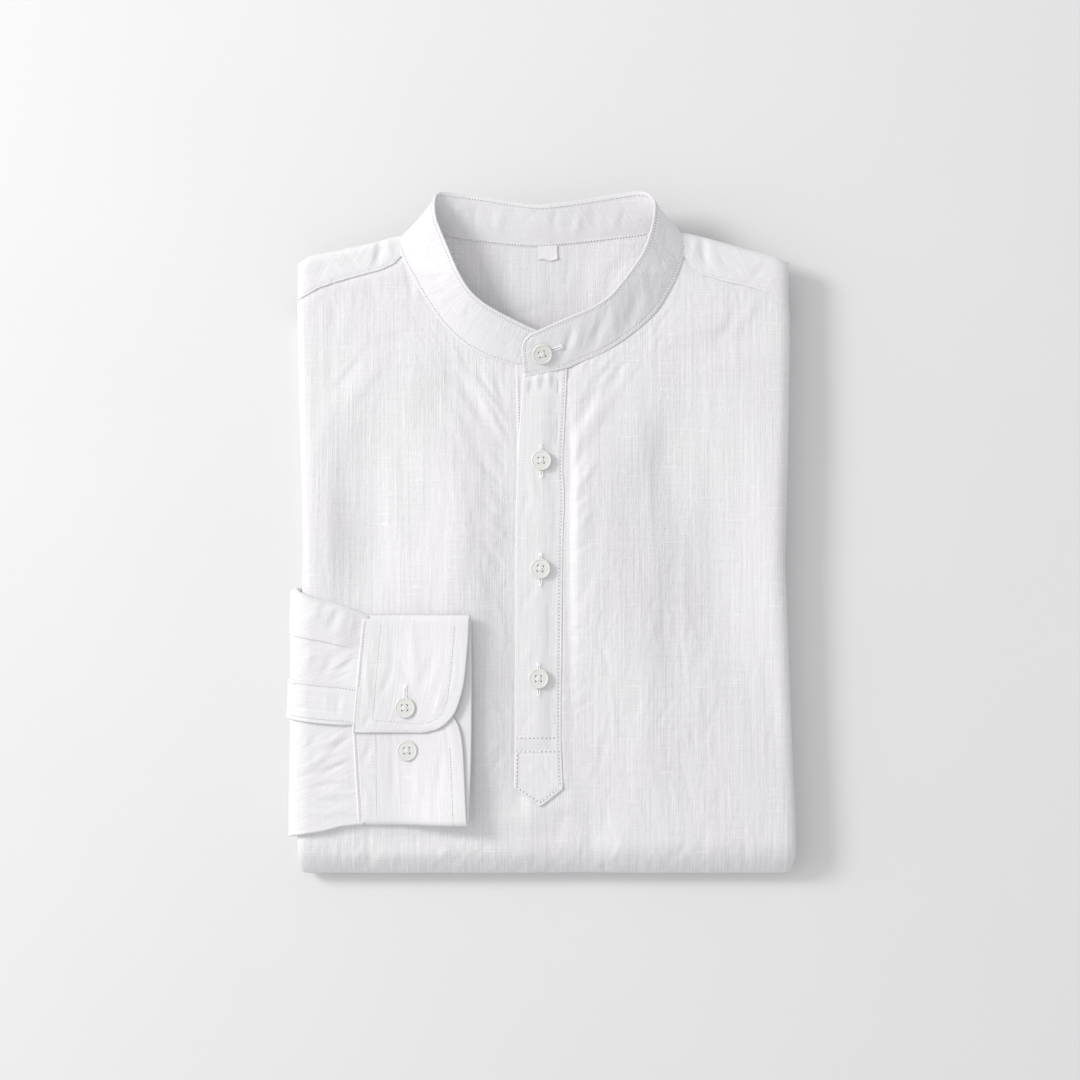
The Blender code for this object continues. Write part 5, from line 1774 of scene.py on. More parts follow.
CUFF_STEP = 1.15
CUFF_STITCH = 7.0
CUFF_SEAM_STITCH = 1.4
CUFF_WIDTH = 60.0  # for its columns' spacing
CUFF_END_STEPS = np.array([0.0, 0.35, 0.8, 1.2, 1.6, 2.1])
CUFF_SPRING = 4.6  # how far its right edge springs up at the fold, and this much more at the lower corner
CUFF_CORNER_SPRING = 4.4
CUFF_SPRING_X = (-84.0, -42.0)
CUFF_SPRING_Y = (-160.0, -108.0)
CUFF_BEAD = 0.25  # its rounded edge at the sleeve seam
UPPER_END, LOWER_START = 7, 13  # rows of CUFF: the last of the upper flap, and the first of the lower one
CUFF_CREASES = table(Crease, [
    (-84, -70, 88, 18, 2.6, -0.45, 1, 0.2),
    (-72, -66, 94, 20, 4, 0.52, 1),
    (-64, -76, 70, 16, 4, -0.52, 1),
    (-88, -84, 66, 12, 3, -0.52, 1),
    (-98, -82, 92, 20, 3, 0.45),
    (-78, -76, 120, 10, 4, -0.45),
    (-58, -92, 74, 10, 3, 0.45),
    (-98, -104, 60, 7, 2.6, -0.45),
    (-46.5, -72, 92, 20, 1.8, -0.3),
])
CUFF_LOWER_CREASES = table(Crease, [
    (-98, -122, 70, 9, 3, -0.6, 1),
    (-84, -136, 88, 18, 3.2, -0.45, 1),
    (-70, -140, 92, 20, 4, 0.45, 1),
    (-58, -134, 84, 20, 3.4, -0.45),
    (-64, -154, 96, 10, 4, 0.45),
    (-98, -150, 94, 12, 3, 0.38),
])
CUFF_CRUMPLE = Crumple(-74, -76, 26, 28, 90, 40, 6, 16, 2.4, 5, 0.08, 40)
CUFF_LOWER_CRUMPLE = Crumple(-74, -136, 26, 24, 90, 40, 6, 16, 2.4, 5, 0.07, 34)

# The stitching inside the upper flap: down beside the sleeve seam, then round inside the free edge.
CUFF_INNER_LINE = table(Place, [
    (-90.7, -50),
    (-95.4, -103.4),
    (-72, -105.6),
    (-63.8, -104.9),
    (-58.6, -102.2),
    (-55.4, -98),
    (-53.4, -92),
    (-51.6, -78),
    (-50.3, -61),
    (-49.2, -50),
])
LOWER_INNER_LINE = [Place(-93.7, -108), Place(-93.2, -159)]


def cuff_path():
    """The cuff's middle line round its folds, as length along it, Y, Z and X of its right edge."""
    rows = np.array(CUFF)
    fine = through(rows, np.linspace(0, len(rows) - 1, 800))
    along = lengths_along(fine[:, :2])
    at = np.concatenate([CUFF_END_STEPS, spread(2.7, along[-1] - 1, CUFF_STEP), [along[-1]]])
    return at, *(np.interp(at, along, fine[:, k]) for k in range(3))


def cuff_lift(x, y):
    """The cuff's folded layers spring up a little towards its right edge, most at the lower corner."""
    spring = CUFF_SPRING + CUFF_CORNER_SPRING * (1 - ramp(*CUFF_SPRING_Y, y))
    return ramp(*CUFF_SPRING_X, x) * spring


def cuff_surface():
    """The cuff's outer face round its folds: rows along the path, columns from right edge to seam."""
    along, y, z, right = (numbers[:, None] for numbers in cuff_path())
    share = sewn_spread(0.0, CUFF_WIDTH, CUFF_STEP)[None, ::-1] / CUFF_WIDTH
    x = mix(cuff_seam(y), right, share)
    middle = np.stack([x, y + 0 * x, z + cuff_lift(x, y)], axis=-1)
    surface = middle + normals_of(middle) * CUFF_WALL / 2
    return surface, along + 0 * x, share * CUFF_WIDTH + 0 * x


def upper_flap_outline():
    """The free edge of the cuff's upper flap in plan, from the fold down its right side to the seam."""
    rows = [(row.right, row.y) for row in CUFF[UPPER_END::-1]]
    line = through(rows, np.linspace(0, len(rows) - 1, 40))
    return np.concatenate([line, [(cuff_seam(CUFF[0].y), CUFF[0].y)]])


def lower_flap_outline():
    """The right edge of the cuff's lower flap in plan."""
    return np.array([(row.right, row.y) for row in CUFF[LOWER_START:19]])


def cuff_relief(surface, along, from_seam, strength):
    """Height of the cuff's creases, of the grooves of its stitching and of its buttonhole."""
    x, y = surface[..., 0], surface[..., 1]
    fold = lengths_along(np.array([(row.y, row.z) for row in CUFF]))
    upper = 1 - ramp(fold[UPPER_END] - 3, fold[UPPER_END] + 1, along)
    lower = ramp(fold[LOWER_START] - 2, fold[LOWER_START] + 3, along)
    flap_edge = distance_to(upper_flap_outline(), x, y)
    lower_edge = distance_to(lower_flap_outline(), x, y)
    creases = creased(x, y, CUFF_CREASES) + creased(x, y, crumpled(CUFF_CRUMPLE, 113))
    low_creases = creased(x, y, CUFF_LOWER_CREASES) + creased(x, y, crumpled(CUFF_LOWER_CRUMPLE, 127))
    height = upper * creases * strength * ramp(1.0, 5.0, flap_edge)
    height += lower * low_creases * strength
    height += upper * groove(distance_to(CUFF_INNER_LINE, x, y), 1.0, 0.2)
    height += lower * groove(distance_to(LOWER_INNER_LINE, x, y), 1.0, 0.16)
    height += lower * groove(lower_edge - CUFF_STITCH, 1.0, 0.2)
    height += (upper + lower) * groove(from_seam - CUFF_SEAM_STITCH, 0.8, 0.25)
    height += CUFF_BEAD * (upper + lower) * near_line(from_seam, SEAM_BEAD_WIDTH)
    for hole in cuff_holes():
        height += upper * hole_relief(x, y, hole)
    return height


def make_cuff(look, finish):
    surface, along, from_seam = cuff_surface()
    surface = raised(surface, cuff_relief(surface, along, from_seam, look.crease_depth))
    flat = cut_at("cuff", from_seam, along)
    return cloth("cuff_cloth", surface, CUFF_WALL, flat, finish)


# Neck label

LABEL_STEP = 0.35


def make_label(finish):
    """A blank woven label sewn in under the band, with a loose lower corner."""
    low, high = node_box("neck_label")
    x = spread(low[0], high[0], LABEL_STEP)
    x, y = np.meshgrid(x, spread(high[1] + BAND_LAP, low[1], LABEL_STEP))
    down = (high[1] - y) / (high[1] - low[1])
    right = (x - low[0]) / (high[0] - low[0])
    lift = 0.35 + 0.5 * ramp(0.55, 1.0, down) * ramp(0.5, 1.0, right) + 0.1 * np.sin(6 * right) * down
    x = x + 0.35 * down * np.sin(3 * down)
    y = y + 0.45 * ramp(0.6, 1.0, down) * np.sin(7.5 * right)
    surface = np.stack([x, y, LEAF_TOP + LABEL_WALL + lift], axis=-1)
    flat = cut_at("label", x * 0.6, y * 0.6)
    return cloth("neck_label_cloth", surface, LABEL_WALL, flat, finish)


# Folded-away layers and the back

# Each folded layer: its height above the ground, how thick it is, how far in from the side edges it ends,
# where it starts along Y, how far in from the shoulder line it ends, and how far its edge wanders.
Ply = namedtuple("Ply", "z thick inset start end_inset wander")
PLIES = table(Ply, [
    (0.75, 1.35, 10.5, 124.5, 15, 0.8),
    (2.15, 1.3, 9.2, 123.6, 13.2, 0.8),
    (3.8, 1.5, 8.6, -175, 12.6, 0.6),
    (5.4, 1.5, 8.6, -175, 13.4, 0.6),
    (7, 1.5, 8.8, -175, 12.8, 0.5),
    (8.85, 1.4, 4.6, -174.5, 12, 0.9),
    (10.3, 1.3, 5.6, -174.5, 13.6, 0.9),
    (11.65, 1.2, 3, -174.5, 9.6, 0.8),
    (12.9, 1.15, 3.9, -174.5, 7.8, 0.8),
])
PLY_TOP_Y = 150.0
PLY_EDGE = np.radians([-90, -60, -30, 0, 30, 60, 90])
PLY_EDGE_REACH = 3.0  # how wide a ply's rounded edge is
PLY_SHARES = (0.0, 0.35, 0.7, 0.93)  # of the way from a ply's middle to that edge
PLY_WANDER = (0.021, 0.047, 0.083)  # waves along a ply's edge, in radians for each millimetre
SLOT_START, SLOT_END = (-177.0, -171.0), (-27.0, -21.0)  # Y where the left edge makes room for the sleeve
SLOT_INSET = 21.0
SLOT_LEVELS = (8.0, 13.65)
PEEP = Place(136.5, -4.0)  # where one layer shows beyond the chest's right edge
PEEP_LEVELS = (11.0, 12.5)
PEEP_LENGTH = 46.0


def end_of_ply(x, ply):
    return np.minimum(straight(SHOULDER_LINE, x), 163.0 + np.abs(x) * 0.08) - ply.end_inset


def ply_outline(ply, seed):
    """A folded layer's edge in plan, once round from its left corner nearest the bottom fold."""
    shifts = np.random.default_rng(seed).uniform(0, math.tau, 4)
    ys = spread(ply.start, PLY_TOP_Y, 3.0)
    edge = smooth(SIDES, ys, 1)
    wander = sum(np.sin(ys * wave + shift) for wave, shift in zip(PLY_WANDER, shifts)) * ply.wander / 3
    left = edge + ply.inset + wander
    right = smooth(SIDES, ys, 2) - ply.inset + wander[::-1] * 0.8
    if SLOT_LEVELS[0] < ply.z < SLOT_LEVELS[1]:
        slot = ramp(*SLOT_START, ys) * (1 - ramp(*SLOT_END, ys))
        left = mix(left, np.maximum(left, edge + SLOT_INSET), slot)
    if PEEP_LEVELS[0] < ply.z < PEEP_LEVELS[1]:
        right = mix(right, PEEP.x, near_line(ys - PEEP.y, PEEP_LENGTH))
    share = (ys - ply.start) / (PLY_TOP_Y - ply.start)
    left_y, right_y = (mix(ply.start, end_of_ply(side[-1], ply), share) for side in (left, right))
    across = spread(0.0, 1.0, 0.0125)[1:-1]
    far_x = mix(right[-1], left[-1], across)
    far_y = end_of_ply(far_x, ply) + ply.wander * 0.5 * np.sin(far_x * 0.06 + shifts[3])
    near_x = mix(left[0], right[0], across)
    x = np.concatenate([near_x, right, far_x, left[::-1]])
    y = np.concatenate([0 * near_x + ply.start, right_y, far_y, left_y[::-1]])
    return np.stack([x, y], axis=-1)


def ply_solid(ply, seed):
    """One folded layer as a flat closed form whose edge is a rounded fold."""
    outline = ply_outline(ply, seed)
    along = unit(np.roll(outline, -1, axis=0) - np.roll(outline, 1, axis=0))
    outward = np.stack([along[:, 1], -along[:, 0]], axis=-1) * PLY_EDGE_REACH
    inside = outline - outward
    middle = outline.mean(axis=0)
    half = ply.thick / 2
    under = [(mix(middle, inside, share), -half, share) for share in PLY_SHARES]
    bend = [(outline - outward * (1 - math.cos(turn)), half * math.sin(turn), 1.0) for turn in PLY_EDGE]
    over = [(plan, half, share) for plan, _, share in under[::-1]]
    wave = 0.2 * np.sin(outline[:, 1] * 0.11 + 1.0) * (ply.z > 3)
    bands = under + bend + over
    surface = np.stack([np.column_stack([plan, ply.z + z + wave * share]) for plan, z, share in bands])
    surface = np.concatenate([surface, surface[:, :1]], axis=1)
    flat = np.stack([surface[..., 0] + seed * PLY_CUT_STEP, surface[..., 1]], axis=-1)
    return surface.reshape(-1, 3), cells(*surface.shape[:2]), flat.reshape(-1, 2)


def make_layers(finish):
    parts = [ply_solid(ply, seed) for seed, ply in enumerate(PLIES)]
    return new_piece("folded_layers", *joined(parts), finish)


LAYERS_CUT = (800.0, 860.0)  # the sides of the back, the rest of this sleeve and the other one

BACK_SET_IN = 21.0
BACK_WALL = 1.0
BACK_FOLD = 5.0  # radius of the back's own fold, inside the front's
BACK_FOLD_MID = 7.5
BACK_END = (115.5, 2.0)
BACK_CRUMPLE = Crumple(0, 300, 120, 300, 90, 30, 20, 60, 5, 9, 0.3, 60)

# The back's upper layer from the yoke's seam down to its fold, as Y and height.
BACK_DOWN = [
    (YOKE_START, 15.0),
    (94.0, 15.1),
    (66.0, 15.4),
    (40.0, TOP - 6.5),
    (-150.0, TOP - 6.5),
    (-166.0, TOP - 7.0),
    (-178.0, TOP - 8.5),
]


def make_back(look, finish):
    """The back below the yoke. It lies inside the folded body, from the yoke's seam round the fold to its
    hem."""
    turns = np.linspace(math.pi, 0, 9)[1:]
    bend = [(FOLD_Y - BACK_FOLD * math.sin(t), BACK_FOLD_MID - BACK_FOLD * math.cos(t)) for t in turns]
    line = walk(BACK_DOWN + bend + [BACK_END], 3.0)
    y, z = line[:, :1], line[:, 1:]
    left, right = smooth(SIDES, y, 1) + BACK_SET_IN, smooth(SIDES, y, 2) - BACK_SET_IN
    x = mix(left, right, spread(0.0, 1.0, 0.014)[None, :])
    along = lengths_along(line)[:, None] + 0 * x
    creases = creased(x, along, crumpled(BACK_CRUMPLE, 151)) * look.crease_depth
    surface = raised(np.stack([x, y + 0 * x, z + 0 * x], axis=-1), creases)
    flat = cut_at("back", x, -along)
    return cloth("back_cloth", surface, BACK_WALL, flat, finish)


# Buttons

# Each button's name in the frame, and how far it is turned on its thread, in radians.
BUTTONS = {
    "button_collar": 0.3,
    "button_placket_1": 0.06,
    "button_placket_2": -0.1,
    "button_placket_3": 0.0,
    "button_cuff_upper": 0.05,
    "button_cuff_lower": 0.05,
}
COLLAR_BUTTON_RADIUS = 5.75
# A button's turned outline as shares of its radius: how far out, how high above its underside.
Turned = namedtuple("Turned", "out up")
BUTTON_OUTLINE = table(Turned, [
    (0, 0),
    (0.66, 0),
    (0.88, 0.05),
    (0.97, 0.12),
    (1, 0.19),
    (0.985, 0.26),
    (0.94, 0.3),
    (0.88, 0.315),
    (0.83, 0.305),
    (0.795, 0.27),
    (0.75, 0.27),
    (0.68, 0.275),
    (0, 0.27),
])
BUTTON_THICK = 0.3  # share of the radius
BUTTON_SINK = 0.35  # below the middle of its place, as the thread draws it down into the cloth
BUTTON_SEGMENTS = 84
HOLE_RADIUS = 0.105
HOLE_OFFSET = 0.355  # from the button's axis
HOLE_DEPTH = 0.22
# The thread through the holes: its strands side by side, and each one's run from hole to hole.
STRANDS = (-0.2, 0.0, 0.2)
STRAND_STRAY = 0.05
STRAND_RUN = np.array([-0.9, -0.84, -0.7, -0.35, 0.0, 0.35, 0.7, 0.84, 0.9])
STRAND_RISE = np.array([-0.9, -0.3, 0.16, 0.3, 0.34, 0.3, 0.16, -0.3, -0.9])
STRAND_OVER = 0.07  # how much higher the second pair of holes' strands lie
STRAND_RADIUS = 0.17


def hole_angle(turn, number):
    """Direction of one of a button's four holes from its axis."""
    return turn + math.radians(45 + 90 * number)


def button_tilt(name):
    """The direction a button faces: up, or for the collar's, square to the band."""
    if name != "button_collar":
        return UP
    seam, edge = band_lines(np.array([1.0, 1.4]))
    return unit(np.cross(seam[1] - seam[0], edge[0] - seam[0]))


def button_solid(radius, turn):
    """A button round its own axis, its underside at 0: a dished face with a raised rim and four holes."""
    outline = np.array(BUTTON_OUTLINE)
    fine = through(outline[1:-1], np.linspace(0, len(outline) - 3, 30))
    rim_out, rim_up = fine[-1]
    inner = np.linspace(rim_out, 0.0, 38)[1:]
    face = np.stack([inner, np.interp(inner, [0.0, rim_out], [outline[-1][1], rim_up])], axis=-1)
    line = np.concatenate([outline[:1], fine, face])
    turns = np.linspace(0, math.tau, BUTTON_SEGMENTS + 1) + turn
    x, y = line[:, :1] * np.cos(turns), line[:, :1] * np.sin(turns)
    z = line[:, 1:] + 0 * x
    on_face = (np.arange(len(line)) > len(fine) - 4)[:, None]
    for number in range(4):
        angle = hole_angle(turn, number)
        far = np.hypot(x - HOLE_OFFSET * math.cos(angle), y - HOLE_OFFSET * math.sin(angle))
        z = z - on_face * HOLE_DEPTH * (1 - ramp(HOLE_RADIUS * 0.72, HOLE_RADIUS * 1.08, far))
    surface = np.stack([x, y, z], axis=-1) * radius
    along = lengths_along(line * radius)[:, None] + 0 * x
    around = turns[None, :] * radius * 0.5 + 0 * x
    grain = np.stack([along, around], axis=-1)
    return surface.reshape(-1, 3), cells(*surface.shape[:2]), grain.reshape(-1, 2)


def turned_to(points, normal):
    """Points stood up along a normal instead of +Z."""
    side = unit(np.cross(np.array([0.0, 1.0, 0.0]), normal))
    ahead = np.cross(normal, side)
    return points @ np.stack([side, ahead, normal])


def button_placing(name):
    """A button's middle of its underside, radius and direction, from its own node in the frame. The collar's
    button is tilted, so its box doesn't tell its radius."""
    low, high = node_box(name)
    normal = button_tilt(name)
    radius = COLLAR_BUTTON_RADIUS if name == "button_collar" else (high - low)[0] / 2
    return (low + high) / 2 - normal * (BUTTON_SINK + BUTTON_THICK * radius / 2), radius, normal


def make_button(name, finish):
    place, radius, normal = button_placing(name)
    points, faces, grain = button_solid(radius, BUTTONS[name])
    return new_piece(name + "_turned", turned_to(points, normal) + place, faces, grain, finish)


def button_thread(name):
    """The thread through a button's four holes, crossed on its face, and the shank beneath it."""
    place, radius, normal = button_placing(name)
    chance = np.random.default_rng(len(name))
    paths = []
    for number in range(2):
        angle = hole_angle(BUTTONS[name], number)
        across = np.array([math.cos(angle), math.sin(angle)]) * HOLE_OFFSET * radius
        beside = np.array([-math.sin(angle), math.cos(angle)])
        height = BUTTON_OUTLINE[-1].up * radius + (STRAND_RISE + STRAND_OVER * number)
        for strand in STRANDS:
            off = strand + chance.uniform(-STRAND_STRAY, STRAND_STRAY)
            paths.append(np.column_stack([STRAND_RUN[:, None] * across + beside * off, height]))
    paths = np.stack(paths)
    paths = turned_to(paths.reshape(-1, 3), normal).reshape(paths.shape) + place
    ups = np.broadcast_to(normal, paths.shape)
    return threads(paths, ups, np.full(paths.shape[1], STRAND_RADIUS))


# Buttonholes

# A buttonhole runs from its first end, past the button, to its second.
Hole = namedtuple("Hole", "x0 y0 x1 y1")
HOLE_WIDTH = 2.2  # across both rows of its stitches
HOLE_UP = 8.2
HOLE_DOWN = 9.4
CUFF_HOLE_UP = 12.0
CUFF_HOLE_DOWN = 5.0
COLLAR_HOLE = Hole(-1.0, 101.0, 10.6, 104.9)
HOLE_RELIEF = 0.25
HOLE_RING = (0.9, 1.5)  # its middle's distance from the slit, and half its width
HOLE_DIP = 0.4  # half the width of the dip at the slit
HOLE_PITCH = 0.36
HOLE_REACH = np.array([0.16, 0.34, 0.54, 0.76, 0.96])  # shares of half the width, from the slit out
HOLE_STRAY = 0.07
HOLE_ENDS = 0.5  # the stitches start this far from the slit's ends
HOLE_BARS = (-0.3, 0.0, 0.3, 0.6, 0.9)  # places along the slit from each end
HOLE_BAR_REACH = (0.42, 0.6)  # shares of the width
HOLE_BAR_STRAY = 0.2
HOLE_TAIL = (0.5, 1.1)  # length of the loose end of thread
HOLE_TAIL_STRAY = 0.3
HOLE_THREAD_RISE = [0.12, 0.3, 0.38, 0.3, 0.06]
HOLE_THREAD_RADII = [0.18, 0.25, 0.27, 0.25, 0.16]
ABOVE = 60.0  # a height above everything, to look straight down from


def strip_holes():
    middles = [node_middle(name) for name in BUTTONS if "placket" in name]
    return [Hole(x + 0.1, y + HOLE_UP, x + 0.1, y - HOLE_DOWN) for x, y, _ in middles]


def cuff_holes():
    x, y, _ = node_middle("button_cuff_upper")
    return [Hole(x + 0.4, y + CUFF_HOLE_UP, x, y - CUFF_HOLE_DOWN)]


def hole_relief(x, y, hole):
    """The cloth stands up a little in a ring round a buttonhole and dips at its slit."""
    far = distance_to([hole[:2], hole[2:]], x, y)
    middle, half_width = HOLE_RING
    return HOLE_RELIEF * near_line(far - middle, half_width) - HOLE_RELIEF * near_line(far, HOLE_DIP)


def high_above(plan):
    """Places high over a line in plan."""
    return np.column_stack([plan, np.full(len(plan), ABOVE)])


def hole_threads(lay, hole, seed):
    """Close stitches across both sides of a buttonhole's slit, and a bar across each end."""
    chance = np.random.default_rng(seed)
    start, end = np.array(hole[:2]), np.array(hole[2:])
    length = np.linalg.norm(end - start)
    along = (end - start) / length
    beside = np.array([-along[1], along[0]])
    paths = []
    for side in (-1, 1):
        for at in np.arange(HOLE_ENDS, length - HOLE_ENDS, HOLE_PITCH):
            reach = HOLE_REACH * HOLE_WIDTH / 2 + chance.uniform(-HOLE_STRAY, HOLE_STRAY)
            paths.append(start + along * at + side * reach[:, None] * beside)
    stations = len(HOLE_REACH)
    for at in [*HOLE_BARS, *(length - bar for bar in reversed(HOLE_BARS))]:
        reach = np.linspace(-1.0, 1.0, stations) * HOLE_WIDTH * chance.uniform(*HOLE_BAR_REACH)
        reach = reach + chance.uniform(-HOLE_BAR_STRAY, HOLE_BAR_STRAY)
        paths.append(start + along * at + reach[:, None] * beside)
    tail = start - along * chance.uniform(*HOLE_TAIL)
    paths.append(np.linspace(start, tail, stations) + beside * HOLE_TAIL_STRAY * chance.uniform(-1, 1))
    places, ups = lay.below(high_above(np.concatenate(paths)))
    rise = np.tile(HOLE_THREAD_RISE, len(paths))[:, None]
    places = (places + ups * rise).reshape(len(paths), stations, 3)
    return threads(places, ups.reshape(len(paths), stations, 3), HOLE_THREAD_RADII)


# Stitching

Sizes = namedtuple("Sizes", "stitch_length stitch_gap thread_width pit_radius")
# Bolder stitches: shares of the usual sizes, and the radius of their pits.
TAB_SEWING = Sizes(1.46, 1.1, 1.6, 0.37)
EDGE_SEWING = Sizes(1.3, 1.0, 1.3, 0.28)
CUFF_PIT_RADIUS = 0.2
ROW_STEP = 0.6  # between the points of a row's line
BAND_CLEAR = 0.6  # how far off the band its rows' lines are laid
STAND_STITCH = 1.3
STAND_ROW = (88.0, 40.0)  # Y of its ends
POINT_STITCH = 1.8
SLEEVE_ROWS = (0.42, 0.985)  # shares of the sleeve's length
SLEEVE_STITCH = 1.3
SLEEVE_CLEAR = 2.5  # how far above the sleeve's face its rows' lines are laid
CUFF_ROWS = [(-47.5, -109.0), (-111.5, -159.0)]  # Y of the rows beside its seam, one on each flap
LOWER_ROW_TOP = -111.0
LOWER_INNER_TRIM = 3.5


def bolder(sizes, shares):
    """Sizes of stitches as shares of the usual ones."""
    length, gap, width = (size * share for size, share in zip(sizes[:3], shares))
    return Sizes(length, gap, width, shares.pit_radius)


def row_below(lay, plan, sizes, seed):
    """A row of stitches straight below a line in plan."""
    return stitches(*lay.below(high_above(walk(plan, ROW_STEP))), sizes, seed)


def row_on(lay, points, sizes, seed):
    """A row of stitches on the cloth nearest to a line in space."""
    return stitches(*lay.on(walk(points, ROW_STEP)), sizes, seed)


def band_at(along):
    """Stations at lengths along the band's seam."""
    fine, seam, _ = band_fine()
    return np.interp(along, lengths_along(seam), fine)


def band_place(along, up, off):
    """Points that far along the band's seam, up the band and off its outer face."""
    at = band_at(along)
    seam, edge = band_lines(at)
    upward = unit(edge - seam)
    ahead = band_lines(at + 0.02)[0] - band_lines(at - 0.02)[0]
    outward = unit(np.cross(ahead, upward))
    return seam + upward * np.asarray(up)[..., None] + outward * off


def band_length():
    return lengths_along(band_fine()[1])[-1]


def band_tall(along):
    seam, edge = band_lines(band_at(along))
    return np.linalg.norm(edge - seam, axis=-1)


def band_edge_row(inset):
    """Along and up the band: from the foot of its front end, round its corner and along the top edge."""
    turn = np.linspace(0, math.pi / 2, 9)
    tall = band_tall(BAND_CORNER)
    bend = BAND_CORNER - inset
    corner = [BAND_CORNER - bend * np.cos(turn), tall - BAND_CORNER + bend * np.sin(turn)]
    along = spread(BAND_CORNER + 1, band_length() - inset, 2.0)
    top = [along, band_tall(along) - inset]
    return np.concatenate([[(inset, inset)], np.column_stack(corner), np.column_stack(top)])


def band_stitching(sizes):
    """Rows along the band's edge and its seam, on both of its faces."""
    lay = Lay("collar_band_cloth")
    edge = walk(band_edge_row(BAND_STITCH), ROW_STEP)
    foot_along = spread(BAND_STITCH, band_length() - BAND_STITCH, ROW_STEP)
    foot = np.column_stack([foot_along, 0 * foot_along + BAND_STITCH])
    rows = []
    for seed, row in enumerate((edge, foot)):
        for side, off in ((0, BAND_CLEAR), (10, -BAND_WALL - BAND_CLEAR)):
            rows.append(row_on(lay, band_place(row[:, 0], row[:, 1], off), sizes, seed + side))
    return joined(rows)


def plan_offset(line, distance):
    """A line in plan moved to its left."""
    line = np.array(line, float)
    along = unit(np.gradient(line, axis=0))
    return line + np.stack([-along[:, 1], along[:, 0]], axis=-1) * distance


def yoke_stitching(sizes):
    lay = Lay("yoke_cloth")
    rows = []
    for seed, seam in enumerate((YOKE_SEAM_LEFT, YOKE_SEAM_RIGHT)):
        line = through(np.array(seam), np.linspace(0.15, len(seam) - 1.3, 40))
        rows.append(row_below(lay, plan_offset(line, YOKE_STITCH), sizes, seed + 21))
    return joined(rows)


def beside_edge(column, inset, start_y, end_y):
    """A line beside one of the edges in STRIP."""
    y = spread(start_y, end_y, 2.0)
    return np.column_stack([smooth(STRIP, y, column) + inset, y])


def placket_stitching(sizes):
    """The strip's right edge, round its tab, across above the tab, and the button stand's left edge."""
    lay = Lay("placket_strip_cloth")
    left = beside_edge(1, STRIP_STITCH, STRIP_ROWS_ACROSS[1], STRIP_FOOT)
    right = beside_edge(2, -STRIP_STITCH, BAND[2].seam_y - 2.0, STRIP_FOOT)
    point = [(STRIP_POINT_X, STRIP_FOOT - STRIP_POINT + POINT_STITCH)]
    bold = bolder(sizes, TAB_SEWING)
    rows = [row_below(lay, right, bolder(sizes, EDGE_SEWING), 32)]
    rows.append(row_below(lay, np.concatenate([left, point, right[-1:]]), bold, 33))
    for seed, y in enumerate(STRIP_ROWS_ACROSS):
        ends = [(smooth(STRIP, y, 1) + STRIP_STITCH, y), (smooth(STRIP, y, 2) - STRIP_STITCH, y)]
        rows.append(row_below(lay, ends, bold, seed + 34))
    stand = beside_edge(3, STAND_STITCH, *STAND_ROW)
    rows.append(row_below(Lay("button_stand_cloth"), stand, sizes, 37))
    return joined(rows)


def sleeve_stitching(sizes):
    lay = Lay("sleeve_placket_cloth")
    shares = spread(*SLEEVE_ROWS, 0.006)
    rows = []
    for seed, (column, inset) in enumerate(((3, -GAUNTLET_STITCH), (4, SLEEVE_STITCH))):
        y = smooth(SLEEVE, sleeve_reach(shares), column) + inset
        line = sleeve_point(y, shares, SLEEVE_HALF + SLEEVE_CLEAR)
        rows.append(row_on(lay, line, sizes, seed + 41))
    return joined(rows)


def cuff_stitching(sizes):
    """Rows inside both flaps' free edges and beside the sleeve seam."""
    lay = Lay("cuff_cloth")
    sizes = sizes._replace(pit_radius=CUFF_PIT_RADIUS)
    lower_right = through(lower_flap_outline(), np.linspace(0.2, 3.0, 30)) - np.array([CUFF_STITCH, 0.0])
    first, last = LOWER_INNER_LINE
    inner = [(first.x, first.y - LOWER_INNER_TRIM), last]
    plans = [CUFF_INNER_LINE, inner, lower_right[lower_right[:, 1] < LOWER_ROW_TOP]]
    for start, end in CUFF_ROWS:
        y = spread(start, end, 2.0)
        plans.append(np.column_stack([cuff_seam(y) + CUFF_SEAM_STITCH, y]))
    return joined([row_below(lay, plan, sizes, seed + 51) for seed, plan in enumerate(plans)])


def buttonhole_stitching():
    strip, cuff, band = (Lay(name) for name in ("placket_strip_cloth", "cuff_cloth", "collar_band_cloth"))
    parts = [hole_threads(strip, hole, seed + 71) for seed, hole in enumerate(strip_holes())]
    parts += [hole_threads(cuff, hole, seed + 81) for seed, hole in enumerate(cuff_holes())]
    parts.append(hole_threads(band, COLLAR_HOLE, 91))
    return joined(parts)


# Add-on


def colour_of(name, description, default):
    """A property that holds a colour."""
    return bpy.props.FloatVectorProperty(
        name=name, description=description, default=default, subtype="COLOR", size=3, min=0.0, max=1.0
    )


def length_of(name, description, default, low, high):
    """A property that holds a length, in metres."""
    kind = {"subtype": "DISTANCE", "unit": "LENGTH"}
    return bpy.props.FloatProperty(
        name=name, description=description, default=default, min=low, max=high, **kind
    )


def power_of(name, description, default):
    """A property that holds a light's power, in watts."""
    kind = {"subtype": "POWER", "unit": "POWER", "min": 0.0, "max": 1000.0}
    return bpy.props.FloatProperty(name=name, description=description, default=default, **kind)


def strength_of(name, description, default, high):
    """A property that holds a plain number from 0 up."""
    return bpy.props.FloatProperty(
        name=name, description=description, default=default, min=0.0, max=high
    )


